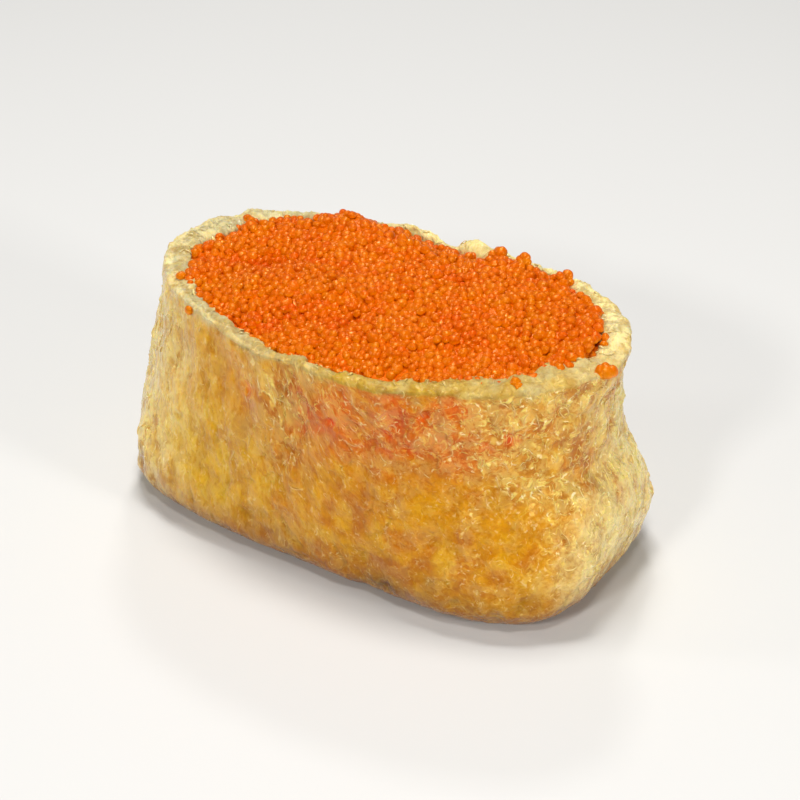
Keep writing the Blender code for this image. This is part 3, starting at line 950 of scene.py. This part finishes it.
    # painted light: the lip and inner wall at the back lightened against the shade that falls there
    lip_tone = mix(lip_tone, linear(244, 228, 156), 0.6 * area_on(deg, 82, 34))
    tone = mix(tone, lip_tone, on_lip)
    tone = tone * (1 + 0.10 * speck_and_glint)[..., None]
    web = np.clip(0.06 + 0.94 * sponge + 0.15 * pale, 0, 1)
    web = np.where(lip, 0.12, web)
    pull = smooth_step(14, -8, p[..., 0])
    wet = np.clip(0.5 + 0.5 * layered(p / 3.0, SEED + 23, 2), 0, 1)
    wet = np.where(lip, -0.4, wet)

    verts = grid.reshape(-1, 3)
    attributes = {
        "tone": tone.reshape(-1, 3),
        "web": web.ravel(),
        "wet": wet.ravel(),
        "pull": pull.ravel(),
        "faint": np.clip(pale, 0, 1).ravel(),
    }
    return verts, grid, kinds, attributes, sheet, lines, tone


def close_ring(start, count, ring, height, verts, faces, attributes, flip):
    """Fills a ring of points with rows of half as many points each time, and a last flat face."""
    centre = ring.mean(0)
    ids = np.arange(start, start + count)
    n = count
    for scale in (0.72, 0.48, 0.26):
        if n % 2:
            break
        half = n // 2
        points = centre + (ring[:: count // half] - centre) * scale
        points[:, 2] = height
        first = len(verts[0])
        verts[0] = np.concatenate([verts[0], points])
        for key in attributes:
            picked = attributes[key][ids[::2]]
            attributes[key] = np.concatenate([attributes[key], picked])
        new = np.arange(first, first + half)
        for j in range(half):
            a, b, c = ids[2 * j], ids[2 * j + 1], ids[(2 * j + 2) % n]
            d, e = new[j], new[(j + 1) % half]
            made = [(a, b, d), (b, e, d), (b, c, e)]
            faces += [f[::-1] for f in made] if flip else made
        ids, n = new, half
    last = ids.tolist()
    faces.append(last[::-1] if flip else last)


def skin_material():
    m = Nodes("wet_fried_tofu")
    web, wet, pull, faint = m.value("web"), m.value("wet"), m.value("pull"), m.value("faint")
    round_where, long_where = m.place(), m.place((1000.0, 1000.0, 560.0))
    where = m.blend(pull, round_where, long_where)
    bent = m.warped(m.warped(where, 0.45, 1.8, 1.0), 1.1, 0.7, 0.0)
    grain = m.noise(where, 2.2, 4.0, 0.58)
    blotch = m.noise(bent, 0.40, 2.5, 0.5)
    broken = m.ramp(m.noise(where, 0.75, 1.0), 0.44, 0.58)
    broken_too = m.ramp(m.noise(bent, 1.2, 1.0), 0.46, 0.60)
    strong = m.math("MULTIPLY", m.threads(bent, 0.66, 0.055, 0.8), broken)
    weak = m.math("MULTIPLY", m.threads(bent, 1.25, 0.075, 0.8), broken_too)
    lines = m.math("MAXIMUM", strong, m.math("MULTIPLY", weak, 0.85))
    cover = m.math("ADD", m.math("MULTIPLY", web, 0.88), 0.12)
    # pale threads and wisps over a deeper, smooth ground
    wisp = m.ramp(m.math("ADD", blotch, m.math("MULTIPLY", m.math("SUBTRACT", grain, 0.5), 0.5)), 0.52, 0.66)
    pale = m.math("ADD", m.math("MULTIPLY", lines, 0.85), m.math("MULTIPLY", wisp, 0.18))
    pale = m.math("MULTIPLY", pale, cover)
    patch = m.math("ADD", m.noise(bent, 0.46, 3.0), m.math("MULTIPLY", m.math("SUBTRACT", grain, 0.5), 0.45))
    soft = m.math("MULTIPLY", m.ramp(patch, 0.47, 0.60), m.math("ADD", m.math("MULTIPLY", faint, 0.9), 0.1))
    ground = m.ramp(blotch, 0.55, 0.35)
    ground = m.math("MULTIPLY", ground, m.ramp(faint, 0.0, 1.0, 1.0, 0.45))
    colour = m.blend(m.math("MULTIPLY", ground, m.ramp(web, 0.1, 0.8, 0.35, 0.62)), m.colour("tone"), linear(200, 158, 50), "MULTIPLY")
    colour = m.blend(m.ramp(grain, 0.54, 0.38, 0.0, 0.28), colour, linear(206, 166, 80), "MULTIPLY")
    between = m.math("MULTIPLY", m.ramp(patch, 0.50, 0.38), faint)
    colour = m.blend(m.math("MULTIPLY", between, 0.38), colour, linear(214, 176, 96), "MULTIPLY")
    colour = m.blend(m.math("MULTIPLY", soft, 0.6), colour, linear(236, 220, 160))
    cloud = m.math("MULTIPLY", m.ramp(patch, 0.44, 0.58), web)
    colour = m.blend(m.math("MULTIPLY", cloud, 0.40), colour, linear(232, 200, 104))
    thread = m.blend(m.ramp(web, 0.25, 0.75), linear(246, 206, 84), WEB)
    colour = m.blend(m.math("MULTIPLY", pale, 0.92), colour, thread)
    # painted highlight: near-white specks on the threads standing in for wet glints
    speck_and_glint = m.math("MULTIPLY", m.ramp(m.noise(where, 1.7, 1.0), 0.54, 0.64), m.math("MULTIPLY", lines, cover))
    colour = m.blend(speck_and_glint, colour, linear(255, 238, 186))
    m.link(colour, m.shader.inputs["Base Color"])
    damp = m.math("ADD", wet, m.math("MULTIPLY", m.noise(where, 1.1, 2.0), 0.5))
    m.link(m.ramp(damp, -0.2, 1.1, 0.60, 0.14), m.shader.inputs["Roughness"])
    height = m.math("MULTIPLY", lines, cover)
    normal = m.bumped(height, 0.00011, 0.9)
    normal = m.bumped(blotch, 0.0006, 0.8, normal)
    wavy = normal
    normal = m.bumped(grain, 0.00009, 0.6, normal)
    m.link(normal, m.shader.inputs["Normal"])
    m.link(m.bumped(m.noise(where, 1.3, 2.0), 0.00034, 1.0, wavy), m.shader.inputs["Coat Normal"])
    s = m.shader.inputs
    s["Subsurface Weight"].default_value = 0.30
    s["Subsurface Radius"].default_value = (1.0, 0.45, 0.10)
    s["Subsurface Scale"].default_value = 0.0010
    s["IOR"].default_value = 1.40
    s["Specular IOR Level"].default_value = 0.65
    s["Specular Tint"].default_value = (1.0, 0.80, 0.20, 1.0)
    s["Coat Weight"].default_value = 0.32
    s["Coat Roughness"].default_value = 0.08
    s["Coat IOR"].default_value = 1.33
    return m.material


def strand_material():
    m = Nodes("wet_strands")
    where = m.place()
    grain = m.noise(where, 1.6, 3.0)
    colour = m.blend(m.ramp(grain, 0.35, 0.65, 0.0, 0.35), m.colour("tone"), linear(224, 170, 84), "MULTIPLY")
    m.link(colour, m.shader.inputs["Base Color"])
    m.link(m.ramp(grain, 0.3, 0.7, 0.20, 0.36), m.shader.inputs["Roughness"])
    m.link(m.bumped(m.noise(where, 4.0, 2.0), 0.00004, 0.7), m.shader.inputs["Normal"])
    s = m.shader.inputs
    s["IOR"].default_value = 1.40
    s["Specular IOR Level"].default_value = 0.4
    s["Coat Weight"].default_value = 1.0
    s["Coat Roughness"].default_value = 0.06
    s["Coat IOR"].default_value = 1.5
    return m.material


def build_pouch():
    points, grid, kinds, attributes, sheet, lines, tone = build_skin()
    material = skin_material()
    rows = len(kinds)
    verts, faces = [points], []
    for r in range(rows - 1):
        a = r * AROUND
        for j in range(AROUND):
            k = (j + 1) % AROUND
            faces.append((a + j, a + k, a + AROUND + k, a + AROUND + j))
    close_ring(0, AROUND, grid[0], 0.0, verts, faces, attributes, flip=True)
    close_ring(
        (rows - 1) * AROUND, AROUND, grid[-1], grid[-1][:, 2].mean(), verts, faces, attributes, flip=False
    )
    skin = make_mesh("pouch_skin", verts[0] + SHIFT, faces, material, attributes)
    return [skin, web_mesh(sheet, lines, grid, tone, strand_material())]


# ---------------------------------------------------------------- the roe
EGG = 0.70  # mean radius


def inner_wall(angle, share=0.985):
    return np.linalg.norm(inset(share, angle, skin_thickness(1.0, angle)), axis=-1)


MOUNDS = (
    # x, y, width and height of eggs piled up against the rim
    (-14.8, 12.6, 2.6, 1.1),
    (-11.5, 13.2, 1.8, 0.7),
    (8.4, 14.6, 1.1, 1.0),
    (11.7, 14.8, 1.4, 0.9),
    (19.4, 13.8, 1.6, 1.2),
    (25.8, 11.2, 1.6, 0.9),
    (28.3, 7.4, 1.6, 0.9),
    (-24.2, 5.6, 1.2, 0.5),
    (15.2, -15.2, 1.2, 0.4),
)


FURROWS = (
    # dips in the heap: from x, y to x, y, with a depth
    (-24.0, -4.5, -15.5, 1.5, 0.7),
    (-15.5, 1.5, -8.0, 3.0, 0.35),
    (-7.0, -10.0, 1.0, -6.5, 0.45),
    (10.0, -2.0, 17.0, -4.5, 0.35),
    (-13.0, -14.0, -8.0, -14.5, 0.5),
    (2.0, 5.0, 8.0, 8.0, 0.3),
)


def furrow(p):
    """How deep in one of the heap's dips each point lies."""
    total = 0
    for ax, ay, bx, by, deep in FURROWS:
        dx, dy = bx - ax, by - ay
        t = np.clip(((p[..., 0] - ax) * dx + (p[..., 1] - ay) * dy) / (dx * dx + dy * dy), 0, 1)
        wave = 0.8 * noise(p[..., :2] @ np.array([[0.3, 0, 0.1], [0, 0.3, 0.1]]), SEED + 76)
        away = np.hypot(p[..., 0] - ax - t * dx, p[..., 1] - ay - t * dy) + wave
        total = total + deep * np.exp(-0.5 * (away / 1.1) ** 2)
    return total


def heap_top(x, y):
    """Height of the heap, and how far out towards its edge each point lies."""
    angle = np.arctan2(y, x)
    spread = np.clip(np.hypot(x, y) / inner_wall(angle), 0, 1.1)
    deg = np.degrees(angle)
    raised = 0.30 + 0.60 * smooth_step(5, 40, deg) * smooth_step(172, 158, deg)
    raised = raised + 0.7 * area_on(deg, 158, 18) + 0.6 * area_on(deg, 0, 14)
    raised = raised + 0.8 * area_on(deg, 80, 8) + 0.9 * area_on(deg, -168, 12) + 1.1 * area_on(deg, 7, 9) + 0.5 * area_on(deg, 168, 8)
    top = roe_height(x, y, roe_edge(angle) + raised, np.minimum(spread, 1.0))
    for mx, my, wide, high in MOUNDS:
        top = top + high * np.exp(-0.5 * ((x - mx) ** 2 + (y - my) ** 2) / wide**2)
    flat = np.stack([x, y, 0 * x], -1)
    top = top + 0.5 * layered(flat / 3.2, SEED + 75, 2) - 0.9 * furrow(flat)
    return top, spread


def pack_eggs(rng):
    """Eggs packed at random under the heap's top, about three layers deep."""
    depth, count = 2.0, 2400
    x = rng.uniform(-33, 36, count * 3)
    y = rng.uniform(-19, 19, count * 3)
    top, spread = heap_top(x, y)
    keep = np.where(spread < 0.99)[0][:count]
    radius = np.clip(rng.normal(EGG, 0.085, len(keep)), 0.50, 0.92)
    x, y, top = x[keep], y[keep], top[keep]
    p = np.stack([x, y, top - radius - rng.uniform(0, depth - 1.0, len(keep))], -1)
    proud = np.clip(rng.normal(0.0, 0.22, len(keep)), -0.5, 0.55)
    pairs = None
    for step in range(72):
        if step % 6 == 0:
            order = np.argsort(p[:, 0])
            p, radius, proud = p[order], radius[order], proud[order]
            far = np.searchsorted(p[:, 0], p[:, 0] + 2.0)
            left = np.repeat(np.arange(len(p)), far - np.arange(len(p)) - 1)
            first = np.cumsum(far - np.arange(len(p)) - 1) - (far - np.arange(len(p)) - 1)
            right = np.arange(len(left)) - np.repeat(first, far - np.arange(len(p)) - 1) + left + 1
            near = (np.abs(p[left, 1] - p[right, 1]) < 2.0) & (np.abs(p[left, 2] - p[right, 2]) < 2.0)
            pairs = left[near], right[near]
        i, j = pairs
        apart = p[j] - p[i]
        d = np.maximum(np.linalg.norm(apart, axis=1), 1e-6)
        over = 0.74 * (radius[i] + radius[j]) - d
        hit = over > 0
        i, j, push = i[hit], j[hit], (apart[hit] / d[hit, None]) * (over[hit, None] * 0.42)
        np.add.at(p, j, push)
        np.add.at(p, i, -push)
        p[:, 2] += 0.02
        angle = np.arctan2(p[:, 1], p[:, 0])
        out = np.hypot(p[:, 0], p[:, 1])
        limit = inner_wall(angle) - radius * 0.10
        pull = np.minimum(1, limit / np.maximum(out, 1e-6))
        p[:, 0] *= pull
        p[:, 1] *= pull
        top, _ = heap_top(p[:, 0], p[:, 1])
        p[:, 2] = np.clip(p[:, 2], top - depth, top - radius + proud + 0.25)
    top, _ = heap_top(p[:, 0], p[:, 1])
    return p, radius, top - p[:, 2]


def ball(parts):
    """A ball from an icosahedron with each edge cut into this many parts."""
    bm = bmesh.new()
    bmesh.ops.create_icosphere(bm, subdivisions=1, radius=1.0)
    corners = np.array([v.co[:] for v in bm.verts])
    triangles = [[v.index for v in f.verts] for f in bm.faces]
    bm.free()
    verts, faces, known = [], [], {}

    def point(a, b, c, i, j):
        place = (corners[a] * (parts - i - j) + corners[b] * i + corners[c] * j) / parts
        key = tuple(np.round(place, 5) + 0.0)
        if key not in known:
            known[key] = len(verts)
            verts.append(place / np.linalg.norm(place))
        return known[key]

    for a, b, c in triangles:
        for i in range(parts):
            for j in range(parts - i):
                p, q, r = point(a, b, c, i, j), point(a, b, c, i + 1, j), point(a, b, c, i, j + 1)
                faces.append((p, q, r))
                if i + j < parts - 1:
                    faces.append((q, point(a, b, c, i + 1, j + 1), r))
    return np.array(verts), np.array(faces)


def egg_mesh(name, centres, radii, parts, material, rng, yellower=0.0):
    """One mesh of many eggs, each a little uneven and turned its own way."""
    base, tris = ball(parts)
    count = len(centres)
    turn = rng.normal(size=(count, 4))
    turn /= np.linalg.norm(turn, axis=1, keepdims=True)
    w, x, y, z = turn.T
    spin = np.stack(
        [
            np.stack([1 - 2 * (y * y + z * z), 2 * (x * y - z * w), 2 * (x * z + y * w)], -1),
            np.stack([2 * (x * y + z * w), 1 - 2 * (x * x + z * z), 2 * (y * z - x * w)], -1),
            np.stack([2 * (x * z - y * w), 2 * (y * z + x * w), 1 - 2 * (x * x + y * y)], -1),
        ],
        1,
    )
    squash = rng.uniform(0.78, 1.12, (count, 1, 3))
    local = np.einsum("nij,nvj->nvi", spin, base[None] * squash)
    dent = 1 + 0.14 * noise(local * 1.1 + rng.uniform(0, 90, (count, 1, 3)), SEED + 60)
    verts = centres[:, None] + local * dent[..., None] * radii[:, None, None]
    faces = tris[None] + (np.arange(count) * len(base))[:, None, None]
    clump = 0.55 + 0.6 * layered(centres / 2.6, SEED + 61, 2)
    # the eggs' own tone varies at random and by clump; painted shade: eggs in the heap's dips made darker and
    # redder
    tone_and_furrow_shade = 0.45 * rng.uniform(0, 1, count) + 0.55 * clump - 0.7 * furrow(centres)
    tone_and_furrow_shade = np.clip(tone_and_furrow_shade + yellower, 0, 1)
    tone_and_furrow_shade = np.repeat(tone_and_furrow_shade, len(base))
    # painted light: the underside of each egg made lighter and yellower, a painted glow of light through the egg
    # that also offsets the shade between eggs
    low = np.clip(0.5 - 0.5 * local[..., 2], 0, 1).ravel()
    verts = verts.reshape(-1, 3)
    return make_mesh(
        name, verts + SHIFT, faces.reshape(-1, 3).tolist(), material, {"tone_and_furrow_shade": tone_and_furrow_shade, "low": low}
    )


def roe_material():
    m = Nodes("roe_beads")
    where = m.place()
    tone_and_furrow_shade, low = m.value("tone_and_furrow_shade"), m.value("low")
    # the eggs' tone, with the painted shade of the heap's dips at its red end
    colour = m.blend(tone_and_furrow_shade, linear(200, 72, 0), linear(200, 106, 0))
    # painted light: lower sides of the eggs lighter and yellower
    colour = m.blend(m.ramp(low, 0.24, 0.58, 0.0, 1.0), colour, linear(230, 130, 0))
    colour = m.blend(m.ramp(m.noise(where, 0.9, 2.0), 0.50, 0.72, 0.0, 0.25), colour, linear(210, 80, 0))
    m.link(colour, m.shader.inputs["Base Color"])
    m.link(m.ramp(m.noise(where, 2.2, 2.0), 0.3, 0.7, 0.18, 0.30), m.shader.inputs["Roughness"])
    m.link(m.bumped(m.noise(where, 3.6, 1.5), 0.00010, 0.8), m.shader.inputs["Normal"])
    s = m.shader.inputs
    s["Subsurface Weight"].default_value = 0.1
    s["Subsurface Radius"].default_value = (1.0, 0.8, 0.1)
    s["Subsurface Scale"].default_value = 0.0003
    s["IOR"].default_value = 1.38
    s["Specular IOR Level"].default_value = 1.0
    s["Specular Tint"].default_value = (1.0, 0.50, 0.12, 1.0)
    s["Coat Weight"].default_value = 0.02
    s["Coat Roughness"].default_value = 0.10
    s["Coat IOR"].default_value = 1.45
    return m.material


def build_core(material):
    """The heap's inside: closed, a little under the eggs, with egg-sized bumps on top."""
    around, rings = 240, 64
    angle = np.linspace(0, 2 * np.pi, around, endpoint=False)
    reach = inner_wall(angle) - 0.05
    rows = []
    for spread in np.linspace(1.0, 0.02, rings):
        x, y = reach * spread * np.cos(angle), reach * spread * np.sin(angle)
        top, _ = heap_top(x, y)
        p = np.stack([x, y, top * 0 + 10.0], -1)
        bumps = 0.20 * layered(p / 1.2, SEED + 70, 2) - 0.25 * smooth_step(0.95, 1.0, spread)
        rows.append(np.stack([x, y, top - 0.46 + bumps], -1))
    low = []
    for drop, share in ((24.0, 0.86), (17.0, 0.92), (8.0, 0.97), (3.5, 1.0)):
        x, y = reach * share * np.cos(angle), reach * share * np.sin(angle)
        low.append(np.stack([x, y, np.full_like(x, HEIGHT - drop)], -1))
    grid = np.array(low + rows)
    verts = grid.reshape(-1, 3)
    faces = []
    for r in range(len(grid) - 1):
        for j in range(around):
            k = (j + 1) % around
            a = r * around
            faces.append((a + j, a + k, a + around + k, a + around + j))
    faces.append(list(range(around))[::-1])
    faces.append(list(range((len(grid) - 1) * around, len(grid) * around)))
    # the core gets a redder tone and, through low, part of the eggs' painted underglow
    tone_and_furrow_shade, low = np.full(len(verts), 0.1), np.full(len(verts), 0.36)
    return make_mesh("roe_core", verts + SHIFT, faces, material, {"tone_and_furrow_shade": tone_and_furrow_shade, "low": low})


LOOSE_EGGS = (
    # x, y, height above the rim, radius
    (-23.9, -10.1, 0.05, 0.74),
    (-18.3, -15.7, -1.00, 0.66),
    (-25.8, 6.9, 0.25, 0.58),
    (-24.9, 6.5, 0.35, 0.62),
    (-21.1, 9.6, 0.25, 0.66),
    (34.2, -1.9, -0.45, 1.10),
    (33.6, -2.3, -0.40, 0.92),
    (34.6, -1.5, -0.35, 0.88),
    (33.9, -1.7, -0.10, 0.80),
    (30.6, 4.3, 0.10, 0.66),
    (31.0, 3.3, 0.00, 0.60),
    # where the heap meets the lip at the two ends
    (29.9, 4.8, -0.95, 0.68),
    (30.2, 3.7, -0.80, 0.72),
    (30.4, 2.6, -0.75, 0.70),
    (30.3, 1.5, -0.75, 0.72),
    (30.0, 0.5, -0.85, 0.66),
    (-26.9, -2.9, -0.70, 0.72),
    (-27.2, -1.9, -0.80, 0.66),
    (-26.5, -4.0, -0.75, 0.70),
    (-26.3, -3.3, -0.30, 0.60),
    # small piles standing on the back rim
    (7.2, 16.6, 0.25, 0.80),
    (8.1, 16.9, 0.95, 0.78),
    (8.6, 16.3, 0.20, 0.84),
    (7.5, 17.0, 0.80, 0.66),
    (10.6, 16.0, 0.25, 0.80),
    (11.3, 16.7, 0.80, 0.74),
    (11.8, 15.9, 0.35, 0.82),
    (11.8, 16.8, 1.20, 0.72),
    (12.5, 16.0, 0.80, 0.60),
    (18.4, 14.6, -0.20, 0.84),
    (19.1, 15.0, 0.35, 0.78),
    (19.9, 14.4, 0.00, 0.72),
    (18.7, 14.2, 0.25, 0.70),
    (-22.2, 10.9, 0.40, 0.70),
    (-21.4, 11.4, 0.30, 0.62),
    (26.6, 9.6, -0.10, 0.74),
    (27.4, 8.6, -0.05, 0.66),
    # eggs over the front lip
    (26.6, -10.3, 0.00, 0.62),
    (27.2, -10.7, -0.05, 0.54),
)


def build_roe():
    rng = np.random.default_rng(SEED)
    material = roe_material()
    core = build_core(material)
    centres, radii, deep = pack_eggs(rng)
    shown = deep < 1.0
    found = [core]
    upper = np.where(shown)[0]
    halves = np.array_split(upper[np.argsort(centres[upper, 0])], max(1, -(-len(upper) // 600)))
    for number, part in enumerate(halves, 1):
        found.append(
            egg_mesh(f"roe_eggs_{number}", centres[part], radii[part], 4, material, rng)
        )
    lower = np.where(~shown & (deep < 1.3))[0]
    found.append(egg_mesh("roe_eggs_below", centres[lower], radii[lower], 2, material, rng))
    loose = np.array(LOOSE_EGGS)
    angle = np.arctan2(loose[:, 1], loose[:, 0])
    z = level(1.0, angle) + loose[:, 2]
    found.append(
        egg_mesh(
            "roe_eggs_loose",
            np.stack([loose[:, 0], loose[:, 1], z], -1),
            loose[:, 3],
            7,
            material,
            rng,
            0.30,
        )
    )
    print("eggs", len(upper), "shown,", len(lower), "below")
    return found


# ---------------------------------------------------------------- where it all stands
def centre_shift():
    """From the middle of the pouch's sections to the middle of its CAD box."""
    angle = np.linspace(0, 2 * np.pi, 1440, endpoint=False)
    shares = np.linspace(0.14, 1.0, 60)[:, None]
    xy = outline(shares, angle[None])
    low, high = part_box("tofu_pouch")
    middle = np.array([(low[k] + high[k]) / 2 / MM for k in (0, 1)])
    form = (xy.reshape(-1, 2).min(0) + xy.reshape(-1, 2).max(0)) / 2
    return np.array([*(middle - form), 0.0])


SHIFT = centre_shift()
print("shift", SHIFT)

for piece in build_pouch():
    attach(piece, "root")
    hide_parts("tofu_pouch")
for piece in build_roe():
    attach(piece, "root")
    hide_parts("roe_filling")


# ---------------------------------------------------------------- floor, light and camera
def build_floor():
    m = Nodes("pale_floor")
    where = m.place((1.0, 1.0, 1.0))
    colour = m.blend(m.noise(where, 3.0, 2.0), (0.60, 0.60, 0.60), (0.64, 0.64, 0.64))
    m.link(colour, m.shader.inputs["Base Color"])
    m.shader.inputs["Roughness"].default_value = 0.9
    m.shader.inputs["Specular IOR Level"].default_value = 0.1
    bm = bmesh.new()
    bmesh.ops.create_grid(bm, x_segments=8, y_segments=8, size=1.5)
    mesh = bpy.data.meshes.new("floor")
    bm.to_mesh(mesh)
    bm.free()
    mesh.materials.append(m.material)
    floor = bpy.data.objects.new("floor", mesh)
    bpy.context.scene.collection.objects.link(floor)


def add_lamp(name, place, aim, size, watts, colour=(1.0, 1.0, 1.0)):
    lamp = bpy.data.lights.new(name, "AREA")
    lamp.shape = "RECTANGLE"
    lamp.size, lamp.size_y = size
    lamp.energy = watts
    lamp.color = colour
    obj = bpy.data.objects.new(name, lamp)
    obj.location = place
    obj.rotation_euler = (Vector(aim) - Vector(place)).to_track_quat("-Z", "Y").to_euler()
    bpy.context.scene.collection.objects.link(obj)


def build_light():
    world = bpy.data.worlds.new("studio")
    world.use_nodes = True
    back = world.node_tree.nodes["Background"]
    back.inputs["Color"].default_value = (1.0, 1.0, 1.0, 1.0)
    back.inputs["Strength"].default_value = WORLD_LIGHT
    bpy.context.scene.world = world
    add_lamp("top", (-0.03, 0.04, 0.50), (0, 0, 0.02), (0.13, 0.11), 1.7, WARM)
    add_lamp("front", (0.03, -0.50, 0.34), (0, 0, 0.02), (0.08, 0.06), 1.2, WARM)
    add_lamp("right", (0.48, -0.04, 0.17), (0, 0, 0.02), (0.07, 0.08), 1.1, WARM)
    add_lamp("left", (-0.42, -0.24, 0.17), (0, 0, 0.02), (0.07, 0.08), 0.45, WARM)
    add_lamp("glint", (0.14, -0.20, 0.42), (0, 0, 0.02), (0.05, 0.05), 0.5, WARM)
    add_lamp("back", (-0.14, 0.28, 0.40), (0, 0, 0.02), (0.06, 0.05), 0.5, WARM)
    bpy.context.scene.view_settings.view_transform = "Standard"


def build_camera():
    azimuth, elevation = math.radians(33.96), math.radians(32.99)
    back = Vector(
        (
            math.sin(azimuth) * math.cos(elevation),
            -math.cos(azimuth) * math.cos(elevation),
            math.sin(elevation),
        )
    )
    right = (-back).cross(Vector((0, 0, 1))).normalized()
    up = right.cross(-back)
    middle = Vector((SHIFT[0], SHIFT[1], HEIGHT / 2))
    eye = middle + back * 298.9
    aim = middle + right * 2.79 + up * 0.15
    camera = bpy.data.cameras.new("camera")
    camera.lens = 102.2
    camera.sensor_width = 36.0
    camera.clip_start = 0.01
    obj = bpy.data.objects.new("camera", camera)
    obj.location = eye * MM
    obj.rotation_euler = (aim - eye).to_track_quat("-Z", "Y").to_euler()
    bpy.context.scene.collection.objects.link(obj)
    bpy.context.scene.camera = obj


WORLD_LIGHT = 0.13
WARM = (1.0, 0.985, 0.95)
build_floor()
build_light()
build_camera()
